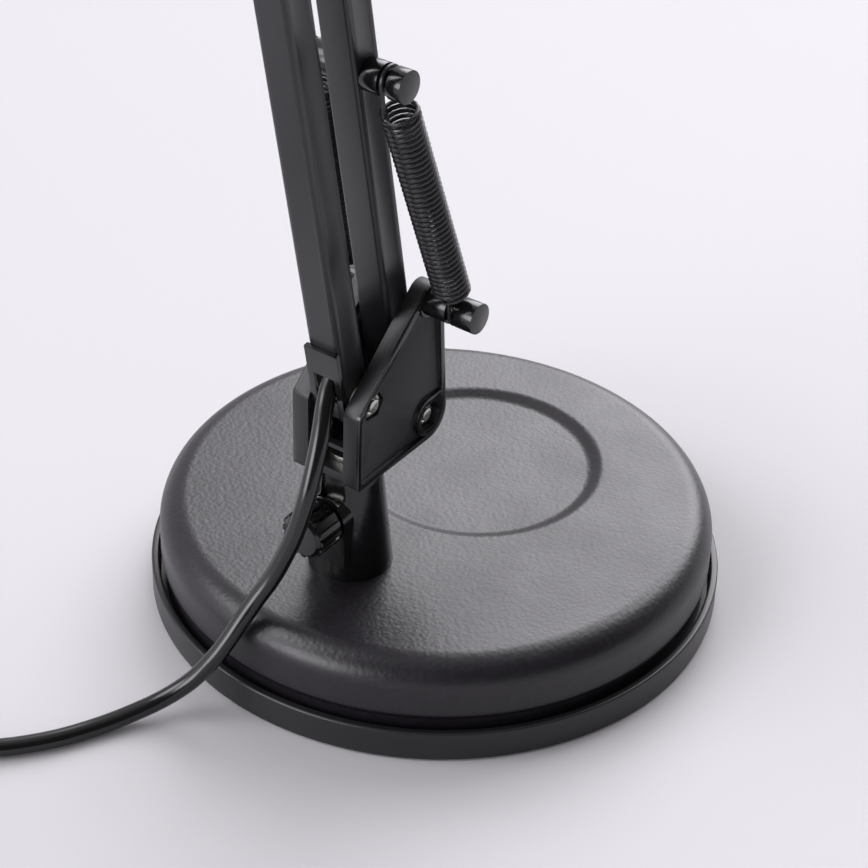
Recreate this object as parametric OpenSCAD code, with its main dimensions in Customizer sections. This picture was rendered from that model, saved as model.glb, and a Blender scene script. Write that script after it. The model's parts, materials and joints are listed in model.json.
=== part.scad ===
// Architect desk lamp: weighted round base, swivel bracket, two parallel-linkage
// arms of square tube, tension springs and a tilting shade.
// X is forward (the way the lamp reaches), Y is left, Z is up.
// The origin is the centre of the base on the surface it stands on.

/* [Base] */
// Outside diameter of the base tray
base_d = 180; // [160:1:220]
// Height of the flat top of the base
base_h = 32; // [28:1:40]
// Height of the tray rim
rim_h = 10.5; // [8:0.5:13]
// Width of the tray rim
rim_wall = 2.4; // [2:0.1:4]
// Gap between the tray rim and the lid
rim_gap = 0.7; // [0.4:0.1:1.5]
// Sheet thickness of the pressed lid
lid_t = 1.2; // [0.8:0.1:2]
// Outer radius of the lid's pressed edge
lid_edge = 9; // [4:0.5:12]
// Diameter of the round tray pressed into the lid
dish_d = 82.5; // [60:0.5:90]
// Depth of the round tray pressed into the lid
dish_depth = 1.8; // [1:0.1:6]
// Distance of the pressed tray's centre in front of the base centre
dish_x = 20; // [10:0.5:26]
// Thickness of the ballast disc
ballast_t = 16; // [10:1:18]
// Thickness of the foam pad under the base
pad_t = 1.4; // [1:0.1:2]

/* [Post] */
// Distance of the post behind the base centre
post_back = 44; // [40:0.5:50]
// Diameter of the post at its foot
post_foot_d = 25.6; // [24:0.2:30]
// Diameter of the post at its top
post_top_d = 18.6; // [17:0.2:22]
// Height of the post
post_h = 34; // [32:0.5:44]
// Diameter of the swivel pin
pin_d = 10; // [8:0.5:11]
// Running clearance of pins and bolts, on the radius
fit_gap = 0.05; // [0.03:0.01:0.1]
// Height of the thumb screw above the lid
screw_z = 21; // [19:0.5:24]
// Diameter of the thumb screw's knob
knob_d = 15; // [12:0.5:18]
// Length of the thumb screw's knob
knob_l = 9.2; // [8:0.1:14]
// Number of ribs round the knob
knob_ribs = 16; // [12:1:20]

/* [Bracket] */
// Width of the bracket across its cheeks
bracket_w = 24; // [22:0.5:30]
// Thickness of each cheek
cheek_t = 5.6; // [4.5:0.1:6]
// Depth of the panel sunk in each cheek
panel_depth = 1.3; // [0.8:0.1:1.8]
// Width of the raised border round the panel
panel_rim = 1.7; // [1.2:0.1:2.5]
// Diameter of the pivot bolts
bolt_d = 4; // [3:0.5:5]
// Width across the flats of the pivot nuts
nut_af = 7; // [6:0.5:8]

/* [Arms] */
// Width of the square arm tube
tube_w = 10.5; // [9:0.5:11]
// Wall thickness of the arm tube
tube_t = 1; // [0.8:0.1:1.5]
// Outer corner radius of the arm tube
tube_r = 1.1; // [1:0.1:2]
// Length of the lower arm between pivots
lower_l = 340; // [280:5:420]
// Length of the upper arm between pivots
upper_l = 350; // [280:5:420]
// Backward lean of the lower arm at rest, in degrees
lower_lean = 11; // [5:1:20]
// Rise of the upper arm at rest, in degrees
upper_rise = 22; // [5:1:35]
// Diameter of the supply cable
cable_d = 5.4; // [5:0.1:6]

/* [Springs] */
// Outside diameter of the tension springs
spring_d = 11; // [9:0.5:12]
// Wire diameter of the tension springs
wire_d = 1.3; // [1:0.1:1.5]
// Diameter of the spring peg heads
peg_d = 9.2; // [9:0.1:12]
// Distance of the moving peg from the arm pivot
peg_up = 119; // [110:1:130]

/* [Head] */
// Diameter of the shade's mouth
shade_d = 148; // [120:1:170]
// Height of the shade
shade_h = 108; // [90:1:130]
// Sheet thickness of the shade
shade_t = 1; // [0.8:0.1:1.5]
// Outside diameter of the lampholder housing
holder_d = 40; // [36:1:46]
// Height of the lampholder housing
holder_h = 56; // [48:1:64]
// Forward tilt of the shade at rest, in degrees
head_tilt = 20; // [0:1:40]

/* [Hidden] */
$fn = 96;

black = [0.09, 0.09, 0.1];
gloss_black = [0.05, 0.05, 0.055];
zinc = [0.78, 0.78, 0.74];
eps = 0.01;

// Base
base_r = base_d / 2;
tray_in_r = base_r - rim_wall;
lid_r = tray_in_r - rim_gap;
tray_gap = 0.4;
tray_floor_t = 2;
tray_floor_z = pad_t + tray_floor_t;
pad_r = tray_in_r - 4;
lid_step = 1.2;
lid_step_z = rim_h + 3.5;
lid_low_z = tray_floor_z;
dish_r = dish_d / 2;
dish_slope = 4.4;
ballast_r = lid_r - lid_t - lid_step - 2;
ballast_z = tray_floor_z;
post_x = -post_back;
screw_ring_r = base_r * 2 / 3;
base_screw_r = 2;
base_screw_head_r = 3.8;
post_bolt_r = 3;
post_bolt_head_r = 5.8;
post_bolt_head_t = 4;
post_washer_r = 8;
post_washer_t = 1.6;
post_bolt_z = ballast_z + 1;
washer_z = post_bolt_z + post_bolt_head_t;

// Post and clamp screw
post_z = base_h;
post_top_z = post_z + post_h;
pin_r = pin_d / 2;
pin_bottom_z = post_z + 14.5;
screw_axis_z = post_z + screw_z;
lug_r = 7.2;
lug_back = 12.4;
stud_r = 2.5;
stud_tip_gap = 0.3;
clamp_nut_w = 8;
clamp_nut_t = 4;
clamp_nut_x = post_x - 7.4;
knob_x = post_x - lug_back - 1.2;

// Bracket: pivots are [x, z] and the outline follows from them
swivel_gap = 0.3;
bracket_floor_z = post_top_z + 1.9;
bracket_floor_t = 2.6;
pivot_rear = [post_x - 4, bracket_floor_z + 25.3];
pivot_front = [post_x + 21.8, bracket_floor_z + 8.6];
link = pivot_front - pivot_rear;
cheek_back = post_x - 12;
cheek_out = bracket_w / 2;
cheek_in = cheek_out - cheek_t;
bracket_peg = [post_x + 21.5, bracket_floor_z + 48.6];
peg_lobe_r = 5.2;
nose_r = 8;
boss_r = 6.4;
back_top = bracket_floor_z + 27;
back_round = 3;
bolt_r = bolt_d / 2;
nut_t = 2.8;
nut_sunk = 0.5;
nut_room = 0.8;
nut_r = nut_af / 2 / cos(30);
nut_in = cheek_out - panel_depth - nut_sunk - nut_t;
bolt_tip = nut_in + nut_t + 0.9;
bolt_head_t = 2.6;

// Arms: t_* are unit vectors [x, z] along the arms
half_w = tube_w / 2;
t_low = [-sin(lower_lean), cos(lower_lean)];
t_up = [cos(upper_rise), sin(upper_rise)];
bush_r = 3;
bush_flange_r = 4.6;
plate_in = half_w + 1.4;
plate_t = 3;
plate_out = plate_in + plate_t;
elbow_rear = pivot_rear + lower_l * t_low;
elbow_front = pivot_front + lower_l * t_low;
elbow_low = elbow_rear + [36, 16];
elbow_top = elbow_low + [-10, 29];
elbow_peg = elbow_top + [-1, 15];
head_top = elbow_top + upper_l * t_up;
head_low = elbow_low + upper_l * t_up;
head_pivot = head_low + [26, 4];
tube_end = 5.2;
insert_t = 1.6;
slot_from = 1;
slot_to = 14;
top_slot_to = 17;
slot_w = cable_d + 1.8;
upper_slot_to = 27;
lower_cable_from = 19.5;
lower_cable_top = 24.5;
upper_cable_from = 26.5;
insert_low = -4;
insert_top = 21;
insert_slot_top = 11.5;
low_peg = pivot_front + peg_up * t_low;
up_peg = elbow_low + peg_up * t_up;

// Spring pegs, measured outwards from the face they stand on
peg_collar = 7.2;
peg_groove = 3;
peg_head = 6;
peg_r = peg_d / 2;
peg_groove_r = 3.2;
arm_peg_collar = 5.8;
arm_peg_head = 4.4;
arm_peg_face = half_w;
spring_r = spring_d / 2;
wire_r = wire_d / 2;
hook_r = peg_groove_r + wire_r + 0.15;

// Head
holder_r = holder_d / 2;
yoke_reach = 42;
yoke_w = 2 * half_w;
collar_r = holder_r + 3;
neck_r = holder_r + 2;
socket_r = 14.6;

// Cable route outside the arms, centre line, hand-set points
cord_points = [
    [-50.6, 0, 110], [-52.4, 0, 103.6], [-55.6, -0.6, 98.6], [-59, -2, 94.6], [-62.5, -3.6, 89.6], [-65.4, -4.6, 84.6],
    [-68.6, -5.2, 78], [-71.4, -5.2, 71], [-74.4, -4, 61.5], [-77, -2, 53.5], [-80, 0.6, 45.5], [-83.6, 3.4, 38.8],
    [-87.6, 5.4, 33], [-91.4, 7.4, 27], [-95.2, 10.2, 20.6], [-99.8, 14.8, 13], [-106, 20.2, 7.4], [-114, 25.6, 4.2],
    [-124, 31, 2.8], [-136, 37.6, 2.7], [-148, 47.4, 2.7], [-158, 60, 2.7], [-165, 70.5, 2.7],
    [-168.6, 80, 2.7]
];
coil_in = 21;
coil_out = 43;
coil_h = 11.2;
tie_w = 4;
tie_t = 1.1;
tie_gap = 0.1;
coil_c = [-171 - 40.3, 100];
cord_sides = 8;

// Points along a Catmull-Rom curve through the route
function spline_at(p, i, t) =
    let (a = p[max(i - 1, 0)], b = p[i], c = p[i + 1], d = p[min(i + 2, len(p) - 1)])
    0.5 * (2 * b + (c - a) * t + (2 * a - 5 * b + 4 * c - d) * t * t + (3 * b - a - 3 * c + d) * t * t * t);
function spline(p, n) = [
    for (i = [0 : len(p) - 2]) for (k = [0 : n - 1]) spline_at(p, i, k / n),
    p[len(p) - 1]
];
function unit(v) = v / norm(v);
function side_of(d) = unit(cross(d, abs(d[2]) > 0.9 ? [0, 1, 0] : [0, 0, 1]));

// A round cable swept along points, as one closed mesh
module sweep(p, d, sides) {
    n = len(p);
    dirs = [for (i = [0 : n - 1]) unit(p[min(i + 1, n - 1)] - p[max(i - 1, 0)])];
    rings = [
        for (i = [0 : n - 1]) let (u = side_of(dirs[i]), v = cross(dirs[i], u))
        for (k = [0 : sides - 1]) p[i] + d / 2 * (cos(360 * k / sides) * u + sin(360 * k / sides) * v)
    ];
    walls = [
        for (i = [0 : n - 2]) for (k = [0 : sides - 1])
            let (a = i * sides + k, b = i * sides + (k + 1) % sides)
            [a, a + sides, b + sides, b]
    ];
    ends = [[for (k = [0 : sides - 1]) k], [for (k = [sides - 1 : -1 : 0]) (n - 1) * sides + k]];
    polyhedron(rings, concat(walls, ends), convexity = 10);
}

// A cylinder along Y at p = [x, z]
module pin_y(p, r, y0, y1, sides = 96) {
    translate([p[0], y0, p[1]]) rotate([-90, 0, 0]) cylinder(r = r, h = y1 - y0, $fn = sides);
}

// A flat plate in the XZ plane between y0 and y1 round circles [x, z, r]
module plate_y(circles, y0, y1) {
    translate([0, y1, 0]) rotate([90, 0, 0]) linear_extrude(y1 - y0)
        hull() for (c = circles) translate([c[0], c[1]]) circle(r = c[2], $fn = 32);
}

// A square with round corners
module round_square(w, r) {
    square([w, w - 2 * r], center = true);
    square([w - 2 * r, w], center = true);
    for (x = [-1, 1], y = [-1, 1]) translate([x * (w / 2 - r), y * (w / 2 - r)]) circle(r = r, $fn = 48);
}

// Puts children with their Z along the unit vector t = [x, z] at p
module along(p, t) {
    translate([p[0], 0, p[1]]) rotate([0, atan2(t[0], t[1]), 0]) children();
}

// A square arm tube from pivot p along t, with its pivot holes
module arm_tube(p, t, l) {
    difference() {
        along(p, t) translate([0, 0, -tube_end]) linear_extrude(l + 2 * tube_end) difference() {
            round_square(tube_w, tube_r);
            round_square(tube_w - 2 * tube_t, tube_r - tube_t + 0.2);
        }
        pin_y(p, bush_r, -tube_w, tube_w);
        pin_y(p + l * t, bush_r, -tube_w, tube_w);
    }
}

// A flanged bush in each end of an arm tube, bored for the bolt; wide opens the far one
module arm_bushes(p, t, l, wide = 0) {
    for (at = [[p, 0], [p + l * t, wide]]) difference() {
        union() {
            pin_y(at[0], bush_r, -half_w - 1, half_w + 1);
            for (s = [-1, 1]) mirror([0, s < 0 ? 1 : 0, 0]) pin_y(at[0], bush_flange_r, half_w, half_w + 1);
        }
        pin_y(at[0], bolt_r + fit_gap + at[1], -tube_w, tube_w);
    }
}

// The window in the back face of a tube where the cable goes in
module cable_window(p, t, to) {
    along(p, t) translate([-half_w, 0, (slot_from + to) / 2])
        cube([3 * tube_t, cable_d + 1.2, to - slot_from], center = true);
}

// A bolt with a pan head on the left, through the plates
module plate_bolt(p, out) {
    pin_y(p, bolt_r, -out - nut_t - 0.6, out);
    pin_y(p, bolt_r * 1.9, out, out + bolt_head_t);
}

module hex_nut(p, y0) {
    difference() {
        pin_y(p, nut_r, y0, y0 + nut_t, 6);
        pin_y(p, bolt_r, y0 - 1, y0 + nut_t + 1);
    }
}

// A spring peg standing outwards (towards -Y) from y = -face, with a shank inwards to y = -inner
module spring_peg(p, face, inner, collar, head_t = peg_head) {
    groove = face + collar;
    head = groove + peg_groove;
    pin_y(p, peg_groove_r - 0.2, -head, -inner);
    pin_y(p, peg_r, -groove, -face);
    pin_y(p, peg_r, -head - head_t, -head);
}

// A tension spring's envelope between two peg grooves [x, y, z], with a hook ring at each end
module spring_body(a, b, gap_a, gap_b) {
    d = unit(b - a);
    for (q = [a, b]) translate(q) rotate([90, 0, 0]) rotate_extrude() translate([hook_r, 0]) circle(r = wire_r, $fn = 16);
    multmatrix(frame_at(a, d)) difference() {
        translate([0, 0, gap_a]) cylinder(r = spring_r, h = norm(b - a) - gap_a - gap_b);
        translate([0, 0, gap_a - 1]) cylinder(r = spring_r - wire_d, h = norm(b - a) - gap_a - gap_b + 2);
    }
    for (e = [[a, d, gap_a], [b, -d, gap_b]]) multmatrix(frame_at(e[0], e[1]))
        translate([0, 0, hook_r - wire_r]) cylinder(r = wire_r, h = e[2] - hook_r + wire_d, $fn = 16);
    for (e = [[a, d, gap_a], [b, -d, gap_b]]) multmatrix(frame_at(e[0], e[1]))
        translate([0, 0, e[2]]) cylinder(r = spring_r - wire_r, h = wire_d / 2);
}

// A frame whose Z is d and whose origin is a
function frame_at(a, d) =
    let (u = unit(cross([0, 1, 0], d)), v = cross(d, u))
    [[u[0], v[0], d[0], a[0]], [u[1], v[1], d[1], a[1]], [u[2], v[2], d[2], a[2]], [0, 0, 0, 1]];

// ---------- base ----------
module base_tray() color(black) difference() {
    translate([0, 0, tray_gap]) cylinder(r = base_r, h = rim_h - tray_gap, $fn = 180);
    translate([0, 0, tray_floor_z]) cylinder(r = tray_in_r, h = rim_h, $fn = 180);
    translate([0, 0, -1]) cylinder(r = pad_r, h = pad_t + 1, $fn = 180);
    at_base_screws() base_screw_shape(fit_gap);
}

module lid_solid(r, top, edge, low) {
    rotate_extrude($fn = 180) {
        difference() {
            translate([0, low]) square([r, top - low]);
            translate([r - edge, top - edge]) square(edge + 1);
        }
        translate([r - edge, top - edge]) intersection() {
            circle(r = edge, $fn = 96);
            square(edge + 1);
        }
    }
}

module dish(r, depth, top) {
    translate([dish_x, 0, top - depth])
        cylinder(r1 = r - dish_slope, r2 = r + dish_slope / dish_depth, h = depth + 1, $fn = 144);
}

module base_lid() color(black) difference() {
    union() {
        lid_solid(lid_r, base_h, lid_edge, lid_step_z);
        translate([0, 0, lid_low_z]) cylinder(r = lid_r - lid_step, h = lid_step_z - lid_low_z + eps, $fn = 180);
    }
    dish(dish_r, dish_depth, base_h);
    difference() {
        lid_solid(lid_r - lid_t - lid_step, base_h - lid_t, lid_edge, lid_low_z - 1);
        dish(dish_r + lid_t, dish_depth, base_h - lid_t);
        translate([dish_x, 0, base_h - lid_t - dish_depth]) cylinder(r = dish_r - dish_slope, h = dish_depth);
    }
    translate([post_x, 0, 0]) cylinder(r = post_bolt_r + 0.2, h = base_h + 1);
}

module at_base_screws() {
    for (a = [60, 180 + 90, 0 - 30]) rotate(a) translate([screw_ring_r, 0, 0]) children();
}

module base_screw_shape(gap) {
    translate([0, 0, pad_t]) cylinder(r1 = base_screw_head_r + gap, r2 = base_screw_r + gap, h = tray_floor_t);
    translate([0, 0, pad_t]) cylinder(r = base_screw_r + gap, h = tray_floor_t + 8);
}

module base_screws() color(zinc) at_base_screws() base_screw_shape(0);

module base_ballast() color([0.3, 0.3, 0.32]) difference() {
    translate([0, 0, ballast_z]) cylinder(r = ballast_r, h = ballast_t, $fn = 144);
    at_base_screws() translate([0, 0, ballast_z - 1]) cylinder(r = base_screw_r, h = 10);
    translate([post_x, 0, ballast_z - 1]) cylinder(r = post_bolt_r + 0.2, h = ballast_t + 2);
    translate([post_x, 0, ballast_z - 1]) cylinder(r = post_washer_r + 0.6, h = washer_z + post_washer_t - ballast_z + 1);
}

module base_foot_pad() color([0.15, 0.15, 0.16]) cylinder(r = pad_r - 0.4, h = pad_t, $fn = 144);

module base_spacer() color(zinc) translate([post_x, 0, ballast_z + ballast_t]) difference() {
    cylinder(r = post_washer_r, h = base_h - lid_t - ballast_z - ballast_t);
    translate([0, 0, -1]) cylinder(r = post_bolt_r + 0.2, h = base_h);
}

module post_bolt() color(zinc) translate([post_x, 0, post_bolt_z]) {
    cylinder(r = post_bolt_head_r, h = post_bolt_head_t, $fn = 6);
    cylinder(r = post_bolt_r, h = pin_bottom_z - 2.5 - post_bolt_z);
}

module post_washer() color(zinc) translate([post_x, 0, washer_z]) difference() {
    cylinder(r = post_washer_r, h = post_washer_t);
    translate([0, 0, -1]) cylinder(r = post_bolt_r + 0.1, h = post_washer_t + 2);
}

// ---------- post and clamp screw ----------
module swivel_post() color(gloss_black) difference() {
    union() {
        translate([post_x, 0, post_z]) cylinder(r1 = post_foot_d / 2, r2 = post_top_d / 2, h = post_h);
        translate([post_x - lug_back, 0, screw_axis_z]) rotate([0, 90, 0]) cylinder(r = lug_r, h = lug_back);
        translate([post_x - lug_back, -lug_r, post_z + 6]) cube([lug_back, 2 * lug_r, screw_z - 6]);
    }
    translate([post_x, 0, pin_bottom_z - 0.5]) cylinder(r = pin_r + fit_gap, h = post_h);
    translate([post_x, 0, post_z - 1]) cylinder(r = post_bolt_r, h = pin_bottom_z - post_z - 1);
    translate([post_x - lug_back - 1, 0, screw_axis_z]) rotate([0, 90, 0])
        cylinder(r = stud_r + fit_gap, h = lug_back);
    translate([clamp_nut_x - clamp_nut_t - 0.1, -clamp_nut_w / 2 - 0.1, screw_axis_z - clamp_nut_w / 2 - 0.1])
        cube([clamp_nut_t + 0.2, clamp_nut_w + 0.2, 3 * lug_r]);
}

module clamp_nut() color(zinc) difference() {
    translate([clamp_nut_x - clamp_nut_t, -clamp_nut_w / 2, screw_axis_z - clamp_nut_w / 2])
        cube([clamp_nut_t, clamp_nut_w, clamp_nut_w]);
    translate([clamp_nut_x - clamp_nut_t - 1, 0, screw_axis_z]) rotate([0, 90, 0])
        cylinder(r = stud_r + fit_gap, h = clamp_nut_t + 2);
}

module clamp_stud() color(zinc) translate([knob_x - knob_l + 3, 0, screw_axis_z]) rotate([0, 90, 0])
    cylinder(r = stud_r, h = post_x - pin_r - stud_tip_gap - knob_x + knob_l - 3);

module clamp_knob() color(gloss_black) difference() {
    translate([knob_x, 0, screw_axis_z]) rotate([0, -90, 0]) {
        cylinder(r = knob_d / 2 - 0.7, h = knob_l);
        translate([0, 0, knob_l]) cylinder(r1 = knob_d / 2 - 0.7, r2 = knob_d / 2 - 1.7, h = 0.8);
        for (i = [0 : knob_ribs - 1]) rotate(i * 360 / knob_ribs)
            translate([knob_d / 2 - 1.4, -0.75, 0.4]) cube([1.4, 1.5, knob_l - 0.6]);
    }
    translate([knob_x - knob_l + 3, 0, screw_axis_z]) rotate([0, 90, 0]) cylinder(r = stud_r, h = knob_l);
}

// ---------- bracket ----------
function cheek_outline(inset) = [
    [cheek_back + 1 + inset, bracket_floor_z + 1 + inset, 1],
    [cheek_back + back_round + inset, back_top - back_round - inset, back_round],
    [bracket_peg[0], bracket_peg[1], peg_lobe_r - inset],
    [pivot_front[0], pivot_front[1], nose_r - inset]
];

module nut_pocket(p) {
    pin_y(p, nut_r + nut_room, -cheek_out - 1, -nut_in, 6);
}

module cheek() {
    difference() {
        plate_y(cheek_outline(0), -cheek_out, -cheek_in);
        difference() {
            plate_y(cheek_outline(panel_rim), -cheek_out - 1, -cheek_out + panel_depth);
            pin_y(pivot_front, boss_r, -cheek_out - 2, -cheek_in);
            pin_y(bracket_peg, peg_lobe_r + 0.4, -cheek_out - 2, -cheek_in);
            translate([pivot_front[0], -cheek_out - 2, pivot_front[1] - boss_r])
                cube([nose_r, cheek_t, 2 * boss_r]);
        }
        nut_pocket(pivot_rear);
        nut_pocket(pivot_front);
    }
}

module pivot_bracket() color(black) difference() {
    union() {
        cheek();
        mirror([0, 1, 0]) cheek();
        translate([cheek_back + 1.5, -cheek_in - 1, bracket_floor_z]) cube([25, 2 * cheek_in + 2, bracket_floor_t]);
        translate([cheek_back + 2.5, -cheek_in - 1, bracket_floor_z + 9.5]) cube([9, 2 * cheek_in + 2, 1.4]);
        translate([post_x, 0, post_top_z + swivel_gap]) cylinder(r = 8.6, h = bracket_floor_z - post_top_z);
    }
    for (p = [pivot_rear, pivot_front]) pin_y(p, bolt_r, -bracket_w, bracket_w);
    for (s = [-1, 1]) scale([1, s, 1]) pin_y(bracket_peg, peg_groove_r - 0.2, -bracket_w, -cheek_in + 1);
    translate([post_x, 0, post_top_z - 1]) cylinder(r = pin_r, h = 12);
    translate([post_x, 0, bracket_floor_z + bracket_floor_t]) cylinder(r = 7, h = 9.6);
}

module swivel_pin() color(zinc) translate([post_x, 0, 0]) {
    translate([0, 0, pin_bottom_z]) cylinder(r = pin_r, h = bracket_floor_z + bracket_floor_t - pin_bottom_z);
    translate([0, 0, bracket_floor_z + bracket_floor_t]) cylinder(r = 6.6, h = 2);
}

module bracket_bolts() color(zinc) for (p = [pivot_rear, pivot_front]) {
    pin_y(p, bolt_r, -bolt_tip, nut_in);
    pin_y(p, nut_r, nut_in, nut_in + bolt_head_t, 6);
}

module bracket_nuts() color(zinc) for (p = [pivot_rear, pivot_front]) hex_nut(p, -nut_in - nut_t);

module bracket_spring_pegs() color(gloss_black) for (s = [-1, 1]) scale([1, s, 1])
    spring_peg(bracket_peg, cheek_out, half_w + 0.8, peg_collar);

lower_hook = cheek_out + peg_collar + peg_groove / 2;
arm_hook = arm_peg_face + arm_peg_collar + peg_groove / 2;
module lower_spring() spring_body(
    [low_peg[0], -arm_hook, low_peg[1]], [bracket_peg[0], -lower_hook, bracket_peg[1]], 8.5, 6.5);
module lower_spring_right() color(black) lower_spring();
module lower_spring_left() color(black) mirror([0, 1, 0]) lower_spring();

// ---------- lower arm ----------
module rear_lower_tube() color(black) difference() {
    arm_tube(pivot_rear, t_low, lower_l);
    cable_window(pivot_rear, t_low, slot_to);
    cable_window(elbow_rear - (slot_from + top_slot_to) * t_low, t_low, top_slot_to);
}
module rear_lower_bushes() color([0.85, 0.85, 0.82]) arm_bushes(pivot_rear, t_low, lower_l);
module front_lower_tube() color(black) difference() {
    arm_tube(pivot_front, t_low, lower_l);
    pin_y(low_peg, peg_groove_r - 0.2, -tube_w, tube_w);
}
module front_lower_bushes() color([0.85, 0.85, 0.82]) arm_bushes(pivot_front, t_low, lower_l, 0.3);

// A moulded plate that lines a cable window, standing on the tube's back face
module window_insert(p, t, side, from, to, slot_a, slot_b) {
    mid = (from + to) / 2;
    along(p, t) difference() {
        translate([side * (half_w + insert_t / 2), 0, mid]) cube([insert_t, tube_w + 1, to - from], center = true);
        translate([side * (half_w + insert_t / 2), 0, (slot_a + slot_b) / 2])
            cube([insert_t + 1, slot_w, slot_b - slot_a], center = true);
    }
}
module cable_entry_insert() color(black)
    window_insert(pivot_rear, t_low, -1, insert_low, insert_top, insert_low - 2, insert_slot_top);
module rear_top_insert() color(black)
    window_insert(elbow_rear, t_low, -1, -insert_top, -insert_low, -insert_slot_top - 2, -insert_low + 2);

// The straight run of cable inside an arm tube
module cable_in_tube(p, t, a, b) color([0.1, 0.1, 0.1]) along(p, t) translate([0, 0, a]) cylinder(d = cable_d, h = b - a);
module cable_in_lower_arm() cable_in_tube(pivot_rear, t_low, lower_cable_from, lower_l - lower_cable_top);

module arm_spring_peg() color(gloss_black) {
    for (s = [-1, 1]) scale([1, s, 1]) spring_peg(low_peg, arm_peg_face, 0, arm_peg_collar, arm_peg_head);
}

// ---------- elbow ----------
elbow_circles = [for (p = [elbow_rear, elbow_front, elbow_low, elbow_top]) [p[0], p[1], 8]];

function to3(p) = [p[0], 0, p[1]];
function step(p, t, n, along_t, out) = p + along_t * t + out * n;
n_low = [-cos(lower_lean), -sin(lower_lean)];
n_up = [-sin(upper_rise), cos(upper_rise)];

// Two equal arcs that carry the cable from a tube's middle line to a distance out beside it, over a length l
function s_bend(l, out) = let (turn = 2 * atan(out / l), r = l / 2 / sin(turn)) [
    for (k = [0 : 3]) [r * sin(turn * k / 3), r * (1 - cos(turn * k / 3))],
    for (k = [2 : -1 : 0]) [l - r * sin(turn * k / 3), out - r * (1 - cos(turn * k / 3))]
];
// An arc that turns clockwise round c, from and to being headings off the vertical
function arc(c, r, from, to, n) = [
    for (k = [1 : n]) let (a = from + (to - from) * k / n) c - r * [cos(a), -sin(a)]
];
bend_l = 26;
bend_out = 9.5;
below_r = 25;
below_from = 22;
above_from = 24;
past_arc = 11;
clip_turn = 21;
clip_dir = [sin(clip_turn), cos(clip_turn)];
below_clip = [for (q = s_bend(bend_l, bend_out)) step(elbow_rear, t_low, n_low, q[0] - below_from, q[1])];
below_end = below_clip[len(below_clip) - 1];
below_arc = arc(below_end - below_r * n_low, below_r, -lower_lean, clip_turn, 3);
clip_at = below_arc[2] + past_arc * clip_dir;
elbow_loop_low = concat(below_clip, below_arc, [clip_at]);
above_start = step(elbow_top, t_up, n_up, above_from - bend_l, bend_out);
above_chord = above_start - clip_at;
above_half = 90 - upper_rise - atan2(above_chord[0], above_chord[1]);
above_r = norm(above_chord) / 2 / sin(above_half);
above_bend = s_bend(bend_l, bend_out);
elbow_loop_up = concat(
    [clip_at],
    arc(above_start - above_r * n_up, above_r, 90 - upper_rise - 2 * above_half, 90 - upper_rise, 4),
    [for (k = [5 : -1 : 0]) step(elbow_top, t_up, n_up, above_from - above_bend[k][0], above_bend[k][1])]
);
clip_lobe_r = 7;

elbow_outline = concat(elbow_circles, [
    [elbow_peg[0], elbow_peg[1], peg_lobe_r], [clip_at[0], clip_at[1], clip_lobe_r]
]);
module elbow_plate() difference() {
    plate_y(elbow_outline, -plate_out, -plate_in);
    for (p = [elbow_rear, elbow_front, elbow_low, elbow_top]) pin_y(p, bolt_r, -bracket_w, 0);
    pin_y(elbow_peg, peg_groove_r - 0.2, -bracket_w, 0);
}
module elbow_plate_right() color(black) elbow_plate();
module elbow_plate_left() color(black) mirror([0, 1, 0]) elbow_plate();
module elbow_bolts() color(zinc) for (p = [elbow_rear, elbow_front, elbow_low, elbow_top]) plate_bolt(p, plate_out);
module elbow_nuts() color(zinc)
    for (p = [elbow_rear, elbow_front, elbow_low, elbow_top]) hex_nut(p, -plate_out - nut_t);
module elbow_spring_pegs() color(gloss_black) for (s = [-1, 1]) scale([1, s, 1])
    spring_peg(elbow_peg, plate_out, plate_in, peg_collar);

// A bar between the elbow plates with a hole that carries the cable
clip_gap = 1;
module elbow_cable_clip() color(gloss_black) difference() {
    pin_y(clip_at, cable_d / 2 + 2.8, -plate_in, plate_in);
    translate([clip_at[0], 0, clip_at[1]]) rotate([0, clip_turn, 0]) cylinder(d = cable_d + clip_gap, h = 30, center = true);
}

module elbow_cable_lower() color([0.1, 0.1, 0.1]) sweep([for (p = spline(elbow_loop_low, 4)) to3(p)], cable_d, 8);
module elbow_cable_upper() color([0.1, 0.1, 0.1]) sweep([for (p = spline(elbow_loop_up, 4)) to3(p)], cable_d, 8);

// ---------- upper arm ----------
module top_upper_tube() color(black) difference() {
    arm_tube(elbow_top, t_up, upper_l);
    cable_window(elbow_top, t_up, upper_slot_to);
    cable_window(head_top - (slot_from + upper_slot_to) * t_up, t_up, upper_slot_to);
}
module top_upper_bushes() color([0.85, 0.85, 0.82]) arm_bushes(elbow_top, t_up, upper_l);
module low_upper_tube() color(black) difference() {
    arm_tube(elbow_low, t_up, upper_l);
    pin_y(up_peg, peg_groove_r - 0.2, -tube_w, tube_w);
}
module low_upper_bushes() color([0.85, 0.85, 0.82]) arm_bushes(elbow_low, t_up, upper_l, 0.3);
module cable_in_upper_arm() cable_in_tube(elbow_top, t_up, upper_cable_from, upper_l - upper_cable_from);
module upper_spring_peg() color(gloss_black)
    for (s = [-1, 1]) scale([1, s, 1]) spring_peg(up_peg, arm_peg_face, 0, arm_peg_collar, arm_peg_head);
elbow_hook = plate_out + peg_collar + peg_groove / 2;
module upper_spring() spring_body(
    [up_peg[0], -arm_hook, up_peg[1]], [elbow_peg[0], -elbow_hook, elbow_peg[1]], 8.5, 6.5);
module upper_spring_right() color(black) upper_spring();
module upper_spring_left() color(black) mirror([0, 1, 0]) upper_spring();

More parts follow.
